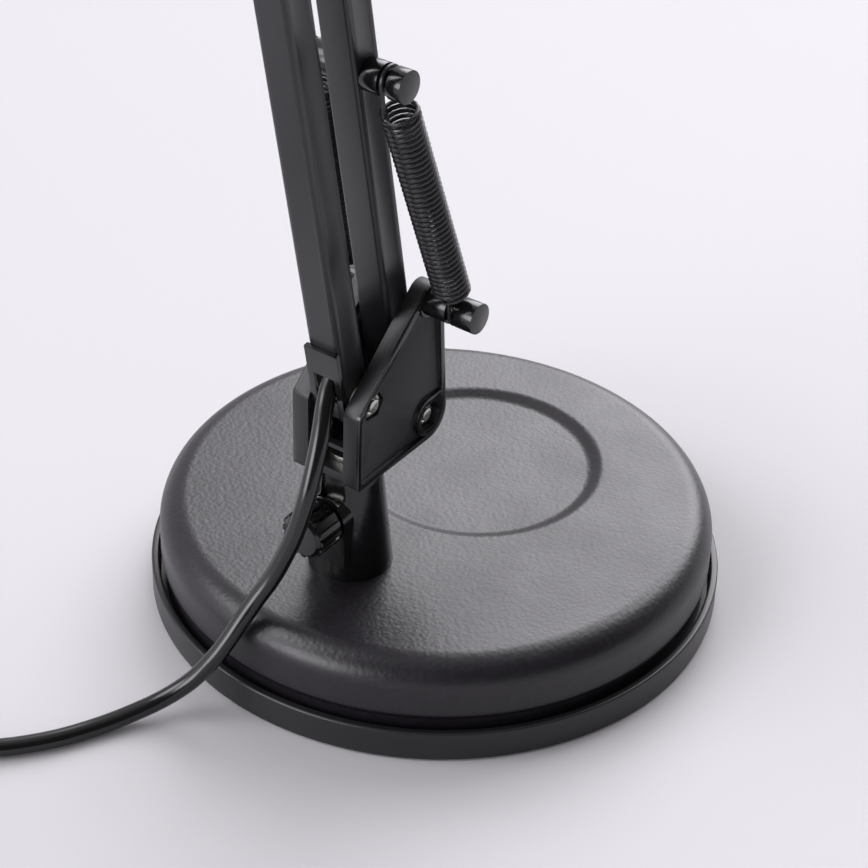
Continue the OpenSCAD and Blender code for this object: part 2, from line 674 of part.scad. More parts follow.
// ---------- head ----------
module head_link() difference() {
    plate_y([for (p = [head_top, head_low, head_pivot]) [p[0], p[1], 8]], -plate_out, -plate_in);
    for (p = [head_top, head_low, head_pivot]) pin_y(p, bolt_r, -bracket_w, 0);
}
module head_link_right() color(black) head_link();
module head_link_left() color(black) mirror([0, 1, 0]) head_link();
module head_bolts() color(zinc) for (p = [head_top, head_low, head_pivot]) plate_bolt(p, plate_out);
module head_nuts() color(zinc) for (p = [head_top, head_low]) hex_nut(p, -plate_out - nut_t);

module head_tilt_knob() color(gloss_black) difference() {
    union() {
        pin_y(head_pivot, 8, -plate_out - 9, -plate_out);
        for (a = [0 : 30 : 330]) translate([head_pivot[0], 0, head_pivot[1]]) rotate([0, a, 0])
            translate([8, -plate_out - 9, 0]) rotate([-90, 0, 0]) cylinder(r = 1.2, h = 8, $fn = 24);
    }
    pin_y(head_pivot, bolt_r, -plate_out - nut_t - 0.6, 0);
}

// The shade's own frame: origin at the tilt pivot, shade axis along -Z at x = yoke_reach
module at_head() {
    translate([head_pivot[0], 0, head_pivot[1]]) rotate([0, -head_tilt, 0]) children();
}

module head_yoke() color(gloss_black) at_head() difference() {
    union() {
        pin_y([0, 0], 7.5, -half_w, half_w);
        translate([0, -half_w, -6]) cube([yoke_reach - holder_r, yoke_w, 12]);
        translate([yoke_reach, 0, -8]) cylinder(r = collar_r, h = 16);
    }
    pin_y([0, 0], bolt_r + fit_gap, -tube_w, tube_w);
    translate([yoke_reach, 0, -9]) cylinder(r = holder_r, h = 18);
}

holder_low = -24;
module lampholder_housing() color(gloss_black) at_head() translate([yoke_reach, 0, holder_low]) difference() {
    union() {
        cylinder(r = holder_r, h = holder_h - 8);
        translate([0, 0, holder_h - 8]) rotate_extrude() intersection() {
            union() {
                square([holder_r - 8, 8]);
                translate([holder_r - 8, 0]) circle(r = 8);
            }
            square([holder_r, 8]);
        }
    }
    translate([0, 0, -1]) cylinder(r = holder_r - 2.2, h = holder_h - 4);
    translate([0, 0, holder_h - 8]) cube([14.6, 21.6, 20], center = true);
    translate([-holder_r, 0, holder_h - 17]) rotate([0, 90, 0]) cylinder(d = cable_d, h = 16, center = true);
}

module lampholder_core() color([0.9, 0.9, 0.87]) at_head() translate([yoke_reach, 0, holder_low]) difference() {
    union() {
        translate([0, 0, -22]) cylinder(r = socket_r + 3, h = 22);
        cylinder(r = holder_r - 2.4, h = 20);
    }
    translate([0, 0, -23]) cylinder(r = socket_r, h = 33);
}

module lampholder_ring() color([0.1, 0.1, 0.1]) at_head() translate([yoke_reach, 0, holder_low - 7 - shade_t]) difference() {
    cylinder(r = holder_r + 1.5, h = 7);
    translate([0, 0, -1]) cylinder(r = socket_r + 3, h = 9);
}

// Outline of the bell: [radius, depth below the neck]
bell = [[neck_r + 3, 0], [neck_r + 8, 3], [neck_r + 15, 12], [neck_r + 24, 27],
    [neck_r + 34, 46], [neck_r + 42, 66], [shade_d / 2 - 4, 88], [shade_d / 2, shade_h]];
module shade() color(black) at_head() translate([yoke_reach, 0, holder_low]) difference() {
    rotate_extrude($fn = 120) polygon(concat(
        [[socket_r + 3, -shade_t], [socket_r + 3, 0], [neck_r + 2, 0]],
        [for (p = bell) [p[0] + shade_t / 2, -p[1]]],
        [for (i = [len(bell) - 1 : -1 : 0]) [bell[i][0] - shade_t / 2, -bell[i][1] - (i == 0 ? shade_t : 0)]]
    ));
    for (a = [0 : 30 : 330]) rotate(a) translate([neck_r + 12, 0, -20]) rotate([0, 30, 0])
        cylinder(r = 2.6, h = 24, $fn = 24);
}

module bulb() color([0.95, 0.95, 0.92]) at_head() translate([yoke_reach, 0, holder_low]) {
    translate([0, 0, -20]) cylinder(r = 13.2, h = 26);
    rotate_extrude() intersection() {
        union() {
            translate([0, -60]) circle(r = 29);
            polygon([[0, -20], [13.2, -20], [15, -26], [24.4, -44], [0, -60]]);
        }
        translate([0, -100]) square([40, 100]);
    }
}

module switch_rocker() color(gloss_black) at_head() translate([yoke_reach, 0, holder_low + holder_h - 3]) difference() {
    intersection() {
        translate([0, 0, 1.5]) cube([13.4, 21, 9], center = true);
        rotate([90, 0, 0]) cylinder(r = 8, h = 22, center = true);
    }
    rotate([90, 0, 0]) cylinder(r = 1.2, h = 24, center = true);
}

head_loop = [
    for (q = s_bend(bend_l, bend_out)) step(head_top, t_up, n_up, q[0] - above_from, q[1]),
    for (q = [[9, 14.5], [19, 19.5], [30, 21.5], [40.5, 20.2], [50, 17]]) head_top + q
];
module head_cable() color([0.1, 0.1, 0.1]) sweep([for (p = spline(head_loop, 4)) to3(p)], cable_d, 8);

// ---------- cord on the floor ----------
module mains_cord() color([0.08, 0.08, 0.08]) sweep(spline(cord_points, 3), cable_d, cord_sides);
module mains_cord_coil() color([0.08, 0.08, 0.08]) translate([coil_c[0], coil_c[1], 0]) rotate_extrude()
    translate([coil_in, 0]) square([coil_out - coil_in, coil_h]);
module cord_tie() color([0.1, 0.1, 0.1]) translate([coil_c[0] - tie_w / 2, coil_c[1] + coil_in - tie_t - tie_gap, 0])
    difference() {
        cube([tie_w, coil_out - coil_in + 2 * (tie_t + tie_gap), coil_h + tie_t + tie_gap]);
        translate([-1, tie_t, -1]) cube([tie_w + 2, coil_out - coil_in + 2 * tie_gap, coil_h + tie_gap + 1]);
    }
module plug_and_pins() translate([coil_c[0] - coil_out - 16, coil_c[1] - 10, 7]) {
    color([0.08, 0.08, 0.08]) cube([14, 34, 14], center = true);
    color(zinc) for (s = [-1, 1]) translate([0, -17, 0]) rotate([90, 0, 0]) translate([s * 4.5, 0, 0]) cylinder(d = 4, h = 19);
}

base_tray();
base_lid();
base_ballast();
base_foot_pad();
base_screws();
base_spacer();
post_bolt();
post_washer();
swivel_post();
clamp_nut();
clamp_stud();
clamp_knob();
pivot_bracket();
swivel_pin();
bracket_bolts();
bracket_nuts();
bracket_spring_pegs();
lower_spring_right();
lower_spring_left();
rear_lower_tube();
rear_lower_bushes();
cable_entry_insert();
rear_top_insert();
cable_in_lower_arm();
front_lower_tube();
front_lower_bushes();
arm_spring_peg();
elbow_plate_right();
elbow_plate_left();
elbow_bolts();
elbow_nuts();
elbow_spring_pegs();
elbow_cable_clip();
elbow_cable_lower();
elbow_cable_upper();
top_upper_tube();
top_upper_bushes();
cable_in_upper_arm();
low_upper_tube();
low_upper_bushes();
upper_spring_peg();
upper_spring_right();
upper_spring_left();
head_link_right();
head_link_left();
head_bolts();
head_nuts();
head_tilt_knob();
head_cable();
head_yoke();
lampholder_housing();
lampholder_core();
lampholder_ring();
shade();
bulb();
switch_rocker();
mains_cord();
mains_cord_coil();
cord_tie();
plug_and_pins();
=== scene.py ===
"""Finish of an architect desk lamp: its visible surfaces, springs, cables, materials, light and camera.

X is forward, Y is left and Z is up, in metres, with the origin under the centre of the base.
"""
import json
import logging
import math
from dataclasses import dataclass, field
from enum import Enum
from typing import Any

import bmesh
import bpy
import numpy as np
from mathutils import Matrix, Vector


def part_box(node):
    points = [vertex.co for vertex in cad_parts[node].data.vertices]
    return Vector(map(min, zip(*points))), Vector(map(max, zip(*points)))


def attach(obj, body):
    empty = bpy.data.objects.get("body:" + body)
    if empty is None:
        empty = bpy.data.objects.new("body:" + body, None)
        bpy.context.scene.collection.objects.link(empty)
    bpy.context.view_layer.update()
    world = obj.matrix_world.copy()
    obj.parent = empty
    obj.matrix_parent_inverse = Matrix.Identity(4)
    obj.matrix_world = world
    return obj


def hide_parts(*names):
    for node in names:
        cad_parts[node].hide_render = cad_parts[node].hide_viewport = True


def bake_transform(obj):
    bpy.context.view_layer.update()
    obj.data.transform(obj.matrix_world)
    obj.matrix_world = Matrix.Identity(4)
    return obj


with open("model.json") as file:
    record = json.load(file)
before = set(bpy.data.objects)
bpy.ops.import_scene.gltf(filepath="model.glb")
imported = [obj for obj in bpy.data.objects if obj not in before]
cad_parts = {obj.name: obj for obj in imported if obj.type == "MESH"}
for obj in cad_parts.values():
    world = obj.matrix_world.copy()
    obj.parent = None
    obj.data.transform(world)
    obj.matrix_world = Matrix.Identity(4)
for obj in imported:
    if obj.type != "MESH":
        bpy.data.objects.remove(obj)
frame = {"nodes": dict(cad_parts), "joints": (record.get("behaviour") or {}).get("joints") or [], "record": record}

LOG = logging.getLogger("desk_lamp")
MM = 0.001
NOISE = "ShaderNodeTexNoise"
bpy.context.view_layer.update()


class Slot(Enum):
    """The finishes that the record names."""

    BLACK_STEEL = "black_steel"
    WRINKLE_STEEL = "wrinkle_steel"
    BLACK_PLASTIC = "black_plastic"
    MATTE_BLACK = "matte_black"
    ZINC = "zinc"
    IRON = "iron"
    FOAM = "foam"
    SPRING_STEEL = "spring_steel"
    NYLON = "nylon"
    CABLE = "cable"
    PORCELAIN = "porcelain"
    OPAL_GLASS = "opal_glass"


class Side(Enum):
    """The side of the lamp that a piece is on: -1 is its right, towards -Y."""

    RIGHT = -1
    LEFT = 1


# ---------- numbers and arrays ----------


def linear_colour(code: str) -> tuple[float, float, float, float]:
    """Turns an sRGB hex value into the linear colour a shader takes.

    Args:
        code: the colour as "#rrggbb".

    Returns:
        Linear red, green and blue, and an alpha of 1.
    """
    levels = np.array([int(code[i : i + 2], 16) for i in (1, 3, 5)]) / 255
    low = levels / 12.92
    high = ((levels + 0.055) / 1.055) ** 2.4
    red, green, blue = np.where(levels <= 0.04045, low, high)
    return float(red), float(green), float(blue), 1.0


def per_metre(size_mm: float) -> float:
    """Pattern scale whose features are size_mm apart on Object coordinates."""
    return 1 / (size_mm * MM)


def unit(vectors: np.ndarray) -> np.ndarray:
    """Vectors divided by their own lengths."""
    return vectors / np.linalg.norm(vectors, axis=-1, keepdims=True)


def ease(t: np.ndarray) -> np.ndarray:
    """Three t squared less two t cubed: 0 to 1 with flat ends."""
    t = np.clip(t, 0, 1)
    return t * t * (3 - 2 * t)


def through(points: np.ndarray, per_span: int) -> np.ndarray:
    """A Catmull-Rom curve through points.

    Each span is half of (2b + (c-a)t + (2a-5b+4c-d)t^2 + (3b-a-3c+d)t^3) for its four neighbours a, b, c, d.

    Args:
        points: the points that the curve passes, one per row.
        per_span: the number of samples between two points.

    Returns:
        The sampled curve, one point per row, with both ends.
    """
    padded = np.vstack([points[:1], points, points[-1:]])
    a, b, c, d = (padded[k : k + len(points) - 1, None] for k in range(4))
    t = (np.arange(per_span) / per_span)[None, :, None]
    spans = 0.5 * (2 * b + (c - a) * t + (2 * a - 5 * b + 4 * c - d) * t**2 + (3 * b - a - 3 * c + d) * t**3)
    return np.vstack([spans.reshape(-1, 3), points[-1:]])


def run_length(points: np.ndarray) -> float:
    """The length of a line through points."""
    return float(np.linalg.norm(np.diff(points, axis=0), axis=1).sum())


def rounded_profile(corners: list[tuple[float, float, float]], steps: int = 6) -> np.ndarray:
    """An open outline whose inner corners are arcs.

    At each corner the arc is a quadratic curve from radius before the corner to radius after it.

    Args:
        corners: two coordinates and a corner radius for each corner.
        steps: the number of pieces in each arc.

    Returns:
        The outline's points, one per row.
    """
    flat = np.array(corners, float)
    outline = [flat[:1, :2]]
    t = np.linspace(0, 1, steps + 1)[:, None]
    for before, (x, y, radius), after in zip(flat[:-2], flat[1:-1], flat[2:]):
        corner = np.array([x, y])
        back, on = unit(before[:2] - corner), unit(after[:2] - corner)
        start, end = corner + back * radius, corner + on * radius
        curve = (1 - t) ** 2 * start + 2 * t * (1 - t) * corner + t**2 * end
        outline.append(curve if radius > 0 else corner[None])
    outline.append(flat[-1:, :2])
    return np.vstack(outline)


def carried_frames(path: np.ndarray) -> tuple[np.ndarray, np.ndarray]:
    """Two cross directions at each point of a path, carried along it without twist.

    Each direction is the last one less its part along the new tangent.

    Args:
        path: the points of the path.

    Returns:
        The first and the second cross direction, one row per point.
    """
    tangent = unit(np.gradient(path, axis=0))
    helper = np.array([0.0, 1.0, 0.0]) if abs(tangent[0, 1]) < 0.9 else np.array([1.0, 0.0, 0.0])
    first = np.empty_like(path)
    current = helper
    for k, along in enumerate(tangent):
        current = current - along * (current @ along)
        current = current / np.linalg.norm(current)
        first[k] = current
    return first, np.cross(tangent, first)


# ---------- meshes ----------


def grid_piece(
    name: str, points: np.ndarray, wrap_rows: bool = False, wrap_columns: bool = False, caps: bool = False
) -> bpy.types.Object:
    """A mesh from a grid of points, with a quad between each four neighbours.

    Args:
        name: the object's name.
        points: rows by columns by three, in metres.
        wrap_rows: join the last row to the first.
        wrap_columns: join the last column to the first.
        caps: close the first and the last row with a fan to their middle.

    Returns:
        The new object, with a UV map of metres along the rows and turns round the columns.
    """
    rows, columns = points.shape[:2]
    index = np.arange(rows * columns).reshape(rows, columns)
    i = np.arange(rows if wrap_rows else rows - 1)
    j = np.arange(columns if wrap_columns else columns - 1)
    low, high = index[i], index[(i + 1) % rows]
    quads = np.stack([low[:, j], high[:, j], high[:, (j + 1) % columns], low[:, (j + 1) % columns]], -1)
    faces = quads.reshape(-1, 4).tolist()
    vertices = points.reshape(-1, 3)
    along = np.concatenate([[0], np.linalg.norm(np.diff(points[:, 0], axis=0), axis=1).cumsum()])
    uv = np.stack(np.broadcast_arrays(along[:, None], (np.arange(columns) / columns)[None]), -1).reshape(-1, 2)
    if caps:
        middles = np.stack([points[0].mean(0), points[-1].mean(0)])
        first, last = len(vertices), len(vertices) + 1
        vertices = np.vstack([vertices, middles])
        uv = np.vstack([uv, [[0, 0], [along[-1], 0]]])
        k = np.arange(columns if wrap_columns else columns - 1)
        after = (k + 1) % columns
        faces += np.stack([np.full(len(k), first), index[0, k], index[0, after]], -1).tolist()
        faces += np.stack([np.full(len(k), last), index[-1, after], index[-1, k]], -1).tolist()
    mesh = bpy.data.meshes.new(name)
    mesh.from_pydata(vertices.tolist(), [], faces)
    layer = mesh.uv_layers.new(name="UVMap")
    corner = np.empty(len(mesh.loops), np.int32)
    mesh.loops.foreach_get("vertex_index", corner)
    layer.data.foreach_set("uv", uv[corner].astype(np.float32).ravel())
    return finished_piece(name, mesh)


def finished_piece(name: str, mesh: bpy.types.Mesh) -> bpy.types.Object:
    """Merges a new mesh, turns its faces outwards, shades it smooth with sharp creases and links it.

    Args:
        name: the object's name.
        mesh: the mesh, in the lamp's own frame.

    Returns:
        The object, at the origin.
    """
    work = bmesh.new()
    work.from_mesh(mesh)
    bmesh.ops.remove_doubles(work, verts=work.verts, dist=1e-6)
    bmesh.ops.recalc_face_normals(work, faces=work.faces)
    work.to_mesh(mesh)
    work.free()
    mesh.shade_smooth()
    mesh.set_sharp_from_angle(angle=math.radians(38))
    piece = bpy.data.objects.new(name, mesh)
    bpy.context.scene.collection.objects.link(piece)
    return piece


def joined(name: str, pieces: list[bpy.types.Object]) -> bpy.types.Object:
    """Joins pieces into one object.

    Args:
        name: the name of the joined object.
        pieces: the objects, which are used up.

    Returns:
        The one object that is left.
    """
    with bpy.context.temp_override(active_object=pieces[0], selected_editable_objects=pieces):
        bpy.ops.object.join()
    pieces[0].name = name
    return pieces[0]


def round_tube(name: str, path: np.ndarray, radius: float | np.ndarray, sides: int = 16) -> bpy.types.Object:
    """A round rod along a path: each ring is radius times (cos a, sin a) on the path's carried cross directions.

    Args:
        name: the object's name.
        path: the points of its centre line.
        radius: one radius, or one for each point.
        sides: the number of faces round it.

    Returns:
        The closed rod.
    """
    first, second = carried_frames(path)
    angle = np.arange(sides) * 2 * np.pi / sides
    ring = np.cos(angle)[None, :, None] * first[:, None] + np.sin(angle)[None, :, None] * second[:, None]
    size = np.broadcast_to(np.asarray(radius, float), (len(path),))[:, None, None]
    return grid_piece(name, path[:, None] + size * ring, wrap_columns=True, caps=True)


def turned(name: str, profile: np.ndarray, centre: np.ndarray, axis: np.ndarray, sides: int = 96) -> bpy.types.Object:
    """A turned shape: each profile point (r, h) becomes centre + h axis + r (cos a, sin a) across the axis.

    Args:
        name: the object's name.
        profile: radius and height of each point, closed on itself or with both ends on the axis.
        centre: the point where height is 0.
        axis: the unit direction of height.
        sides: the number of faces round it.

    Returns:
        The turned object.
    """
    helper = np.array([1.0, 0, 0]) if abs(axis[0]) < 0.9 else np.array([0, 1.0, 0])
    first = unit(helper - axis * (helper @ axis))
    second = np.cross(axis, first)
    angle = np.arange(sides) * 2 * np.pi / sides
    ring = np.cos(angle)[:, None] * first + np.sin(angle)[:, None] * second
    points = centre + profile[:, None, 1:] * axis + profile[:, None, :1] * ring[None]
    return grid_piece(name, points, wrap_columns=True)


# ---------- materials ----------


def add_node(
    tree: bpy.types.NodeTree, kind: str, inputs: dict[Any, Any] | None = None, **settings: Any
) -> bpy.types.Node:
    """Adds one node with its settings and links.

    Args:
        tree: the node tree.
        kind: the node's type name.
        inputs: for each socket's name or number, a value or the output socket that feeds it.
        **settings: the node's own properties.

    Returns:
        The node.
    """
    node = tree.nodes.new(kind)
    for key, value in settings.items():
        setattr(node, key, value)
    for socket, value in (inputs or {}).items():
        if isinstance(value, bpy.types.NodeSocket):
            tree.links.new(value, node.inputs[socket])
        else:
            node.inputs[socket].default_value = value
    return node


def new_material(name: str, **sockets: Any) -> tuple[bpy.types.Material, bpy.types.Node]:
    """A node material with its one surface shader.

    Args:
        name: the material's name.
        **sockets: values of the shader's sockets, with _ for a space in their names.

    Returns:
        The material and its shader node.
    """
    material = bpy.data.materials.new(name)
    material.use_nodes = True
    tree = material.node_tree
    tree.nodes.clear()
    values = {key.replace("_", " "): value for key, value in sockets.items()}
    shader = add_node(tree, "ShaderNodeBsdfPrincipled", values)
    add_node(tree, "ShaderNodeOutputMaterial", {"Surface": shader.outputs["BSDF"]})
    return material, shader


def place_of(tree: bpy.types.NodeTree) -> bpy.types.NodeSocket:
    """The Object coordinates, in metres."""
    return add_node(tree, "ShaderNodeTexCoord").outputs["Object"]


def level_between(
    tree: bpy.types.NodeTree, value: bpy.types.NodeSocket, source: tuple[float, float], target: tuple[float, float]
) -> bpy.types.NodeSocket:
    """Maps a value from one range to another, held at its ends.

    Args:
        tree: the node tree.
        value: the socket to map.
        source: the range that the value has.
        target: the range that it gets.

    Returns:
        The mapped socket.
    """
    inputs = {
        "Value": value, "From Min": source[0], "From Max": source[1], "To Min": target[0], "To Max": target[1]
    }
    return add_node(tree, "ShaderNodeMapRange", inputs).outputs["Result"]


def mixed_colour(
    tree: bpy.types.NodeTree, share: bpy.types.NodeSocket, first: str, second: str
) -> bpy.types.NodeSocket:
    """Mixes two hex colours by a share from 0 to 1."""
    inputs = {0: share, 6: linear_colour(first), 7: linear_colour(second)}
    return add_node(tree, "ShaderNodeMix", inputs, data_type="RGBA").outputs[2]


@dataclass(frozen=True)
class PowderCoat:
    """Baked powder coat on steel: a hard polyester skin, satin, with the faint roll of a sprayed film."""

    name: str = "satin powder coat on steel"
    colour: str = "#1b1b1d"
    tint: str = "#212124"
    roughness: float = 0.34
    grain_mm: float = 0.9  # drawn coarser than the film's own grain, which is too fine to show
    grain_depth_mm: float = 0.012
    cloud_mm: float = 30.0

    def material(self) -> bpy.types.Material:
        """Builds the material."""
        material, shader = new_material(self.name, Roughness=self.roughness, IOR=1.5)
        tree = material.node_tree
        place = place_of(tree)
        cloud = add_node(tree, NOISE, {"Vector": place, "Scale": per_metre(self.cloud_mm), "Detail": 3.0})
        grain = add_node(tree, NOISE, {"Vector": place, "Scale": per_metre(self.grain_mm), "Detail": 2.0})
        tree.links.new(mixed_colour(tree, cloud.outputs["Fac"], self.colour, self.tint), shader.inputs["Base Color"])
        rough = level_between(tree, cloud.outputs["Fac"], (0.3, 0.7), (self.roughness - 0.03, self.roughness + 0.03))
        tree.links.new(rough, shader.inputs["Roughness"])
        bump = {"Height": grain.outputs["Fac"], "Distance": self.grain_depth_mm * MM, "Strength": 1.0}
        tree.links.new(add_node(tree, "ShaderNodeBump", bump).outputs["Normal"], shader.inputs["Normal"])
        return material


@dataclass(frozen=True)
class WrinkleCoat:
    """Fine-texture powder coat: a film that shrinks into tight beads as it bakes, so it glows grey at low angles;
    painted shade darkens the bead valleys and painted light lightens the bead tops.
    """

    name: str = "fine texture powder coat on steel"
    # colour is the painted shade in the bead valleys and tint the painted light on the bead tops
    colour: str = "#151317"
    tint: str = "#1e1b21"
    roughness: float = 0.36
    bead_mm: float = 1.3
    bead_depth_mm: float = 0.06
    wall_top: float = 24 * MM
    plateau: float = 30 * MM
    cloud_mm: float = 22.0

    def material(self) -> bpy.types.Material:
        """Builds the material."""
        material, shader = new_material(self.name, Roughness=self.roughness, IOR=1.5)
        tree = material.node_tree
        place = place_of(tree)
        cloud = add_node(tree, NOISE, {"Vector": place, "Scale": per_metre(self.cloud_mm), "Detail": 4.0})
        beads = add_node(
            tree, "ShaderNodeTexVoronoi",
            {"Vector": place, "Scale": per_metre(self.bead_mm), "Smoothness": 0.6}, feature="SMOOTH_F1",
        )
        fine = add_node(
            tree, NOISE, {"Vector": place, "Scale": per_metre(self.bead_mm * 1.6), "Detail": 3.0}
        )
        height = add_node(
            tree, "ShaderNodeMath", {0: fine.outputs["Fac"], 1: beads.outputs["Distance"]}, operation="SUBTRACT"
        )
        # painted shade and light: darker where the beads are low, lighter where they are high
        painted_shading = level_between(tree, height.outputs[0], (-0.2, 0.5), (0.0, 1.0))
        tree.links.new(mixed_colour(tree, painted_shading, self.colour, self.tint), shader.inputs["Base Color"])
        rough = level_between(tree, cloud.outputs["Fac"], (0.3, 0.7), (self.roughness - 0.03, self.roughness + 0.04))
        tree.links.new(rough, shader.inputs["Roughness"])
        upwards = add_node(tree, "ShaderNodeSeparateXYZ", {"Vector": place}).outputs["Z"]
        strength = level_between(tree, upwards, (self.wall_top, self.plateau), (0.15, 1.0))
        bump = {"Height": height.outputs[0], "Distance": self.bead_depth_mm * MM, "Strength": strength}
        tree.links.new(add_node(tree, "ShaderNodeBump", bump).outputs["Normal"], shader.inputs["Normal"])
        return material


@dataclass(frozen=True)
class MouldedPlastic:
    """Injection-moulded ABS from a polished tool: near mirror, with slow waves where the melt shrank."""

    name: str = "polished moulded black ABS"
    colour: str = "#111112"
    roughness: float = 0.16
    wave_mm: float = 9.0
    wave_depth_mm: float = 0.03
    scuff_mm: float = 1.1

    def material(self) -> bpy.types.Material:
        """Builds the material."""
        material, shader = new_material(self.name, Base_Color=linear_colour(self.colour), IOR=1.53)
        tree = material.node_tree
        place = place_of(tree)
        wave = add_node(tree, NOISE, {"Vector": place, "Scale": per_metre(self.wave_mm), "Detail": 1.0})
        scuff = add_node(tree, NOISE, {"Vector": place, "Scale": per_metre(self.scuff_mm), "Detail": 5.0})
        rough = level_between(tree, scuff.outputs["Fac"], (0.35, 0.75), (self.roughness - 0.04, self.roughness + 0.09))
        tree.links.new(rough, shader.inputs["Roughness"])
        bump = {"Height": wave.outputs["Fac"], "Distance": self.wave_depth_mm * MM, "Strength": 1.0}
        tree.links.new(add_node(tree, "ShaderNodeBump", bump).outputs["Normal"], shader.inputs["Normal"])
        return material


@dataclass(frozen=True)
class ErodedMoulding:
    """Glass-filled nylon from a part-eroded tool: dull grainy panels inside a polished raised border."""

    name: str = "part eroded moulded black nylon"
    colour: str = "#141415"
    panel_colour: str = "#18181a"
    polished: float = 0.13
    eroded: float = 0.42
    grain_mm: float = 0.45
    grain_depth_mm: float = 0.08
    border_from: float = 10.9 * MM
    border_to: float = 11.5 * MM

    def material(self) -> bpy.types.Material:
        """Builds the material, whose panels lie nearer the middle plane than the border does."""
        material, shader = new_material(self.name, IOR=1.53)
        tree = material.node_tree
        place = place_of(tree)
        across = add_node(tree, "ShaderNodeSeparateXYZ", {"Vector": place}).outputs["Y"]
        outwards = add_node(tree, "ShaderNodeMath", {0: across}, operation="ABSOLUTE").outputs[0]
        panel = level_between(tree, outwards, (self.border_from, self.border_to), (1.0, 0.0))
        grain = add_node(tree, NOISE, {"Vector": place, "Scale": per_metre(self.grain_mm), "Detail": 3.0})
        tree.links.new(mixed_colour(tree, panel, self.colour, self.panel_colour), shader.inputs["Base Color"])
        rough = level_between(tree, panel, (0.0, 1.0), (self.polished, self.eroded))
        tree.links.new(rough, shader.inputs["Roughness"])
        bump = {
            "Height": grain.outputs["Fac"], "Distance": self.grain_depth_mm * MM,
            "Strength": level_between(tree, panel, (0.0, 1.0), (0.12, 1.0)),
        }
        tree.links.new(add_node(tree, "ShaderNodeBump", bump).outputs["Normal"], shader.inputs["Normal"])
        return material


@dataclass(frozen=True)
class ZincPlate:
    """Bright zinc plate with clear chromate: pale metal with a trace of straw where the film is thicker."""

    name: str = "bright zinc plated steel"
    colour: str = "#c3c8cb"
    straw: str = "#cfcab4"
    roughness: float = 0.24
    patch_mm: float = 2.5
    scratch_mm: float = 0.35

    def material(self) -> bpy.types.Material:
        """Builds the material."""
        material, shader = new_material(self.name, Metallic=1.0)
        tree = material.node_tree
        place = place_of(tree)
        patch = add_node(tree, NOISE, {"Vector": place, "Scale": per_metre(self.patch_mm), "Detail": 2.0})
        fine = add_node(tree, NOISE, {"Vector": place, "Scale": per_metre(self.scratch_mm), "Detail": 4.0})
        tree.links.new(mixed_colour(tree, patch.outputs["Fac"], self.colour, self.straw), shader.inputs["Base Color"])
        rough = level_between(tree, fine.outputs["Fac"], (0.3, 0.7), (self.roughness - 0.05, self.roughness + 0.1))
        tree.links.new(rough, shader.inputs["Roughness"])
        bump = {"Height": fine.outputs["Fac"], "Distance": 0.006 * MM, "Strength": 1.0}
        tree.links.new(add_node(tree, "ShaderNodeBump", bump).outputs["Normal"], shader.inputs["Normal"])
        return material


@dataclass(frozen=True)
class CastIron:
    """Sand-cast iron, unpainted: dark grey, dull and pitted by the sand."""

    name: str = "cast iron as cast"
    colour: str = "#3b3b3e"
    pit: str = "#2a2826"
    grit_mm: float = 1.2

    def material(self) -> bpy.types.Material:
        """Builds the material."""
        material, shader = new_material(self.name, Metallic=0.6, Roughness=0.65)
        tree = material.node_tree
        grit = add_node(tree, NOISE, {"Vector": place_of(tree), "Scale": per_metre(self.grit_mm), "Detail": 6.0})
        tree.links.new(mixed_colour(tree, grit.outputs["Fac"], self.colour, self.pit), shader.inputs["Base Color"])
        bump = {"Height": grit.outputs["Fac"], "Distance": 0.25 * MM, "Strength": 1.0}
        tree.links.new(add_node(tree, "ShaderNodeBump", bump).outputs["Normal"], shader.inputs["Normal"])
        return material


@dataclass(frozen=True)
class CellFoam:
    """EVA foam sheet, cut: charcoal and dead matte, with open cells on the cut face whose hollows are painted darker as
    painted shade.
    """

    name: str = "cut EVA foam"
    colour: str = "#242426"
    # pit is painted shade: the colour painted into the middle of each open cell
    pit: str = "#121213"
    cell_mm: float = 0.8

    def material(self) -> bpy.types.Material:
        """Builds the material."""
        material, shader = new_material(self.name, Roughness=0.92, IOR=1.45)
        tree = material.node_tree
        cells = add_node(tree, "ShaderNodeTexVoronoi", {"Vector": place_of(tree), "Scale": per_metre(self.cell_mm)})
        # painted shade: each cell goes darker towards its sunk middle
        painted_shading = mixed_colour(tree, cells.outputs["Distance"], self.pit, self.colour)
        tree.links.new(painted_shading, shader.inputs["Base Color"])
        bump = {"Height": cells.outputs["Distance"], "Distance": 0.2 * MM, "Strength": 1.0}
        tree.links.new(add_node(tree, "ShaderNodeBump", bump).outputs["Normal"], shader.inputs["Normal"])
        return material


@dataclass(frozen=True)
class SpringWire:
    """Music wire with a black phosphate and oil coat: dark, semi-gloss, drawn lines along the wire."""

    name: str = "black coated spring wire"
    colour: str = "#17171a"
    worn: str = "#2c2b2d"
    roughness: float = 0.3
    line_mm: float = 0.5
    patch_mm: float = 7.0

    def material(self) -> bpy.types.Material:
        """Builds the material."""
        material, shader = new_material(self.name, IOR=1.6, Metallic=0.25)
        tree = material.node_tree
        place = place_of(tree)
        lines = add_node(tree, NOISE, {"Vector": place, "Scale": per_metre(self.line_mm), "Detail": 3.0})
        patch = add_node(tree, NOISE, {"Vector": place, "Scale": per_metre(self.patch_mm), "Detail": 2.0})
        tree.links.new(mixed_colour(tree, patch.outputs["Fac"], self.colour, self.worn), shader.inputs["Base Color"])
        rough = level_between(tree, lines.outputs["Fac"], (0.3, 0.7), (self.roughness - 0.08, self.roughness + 0.1))
        tree.links.new(rough, shader.inputs["Roughness"])
        return material


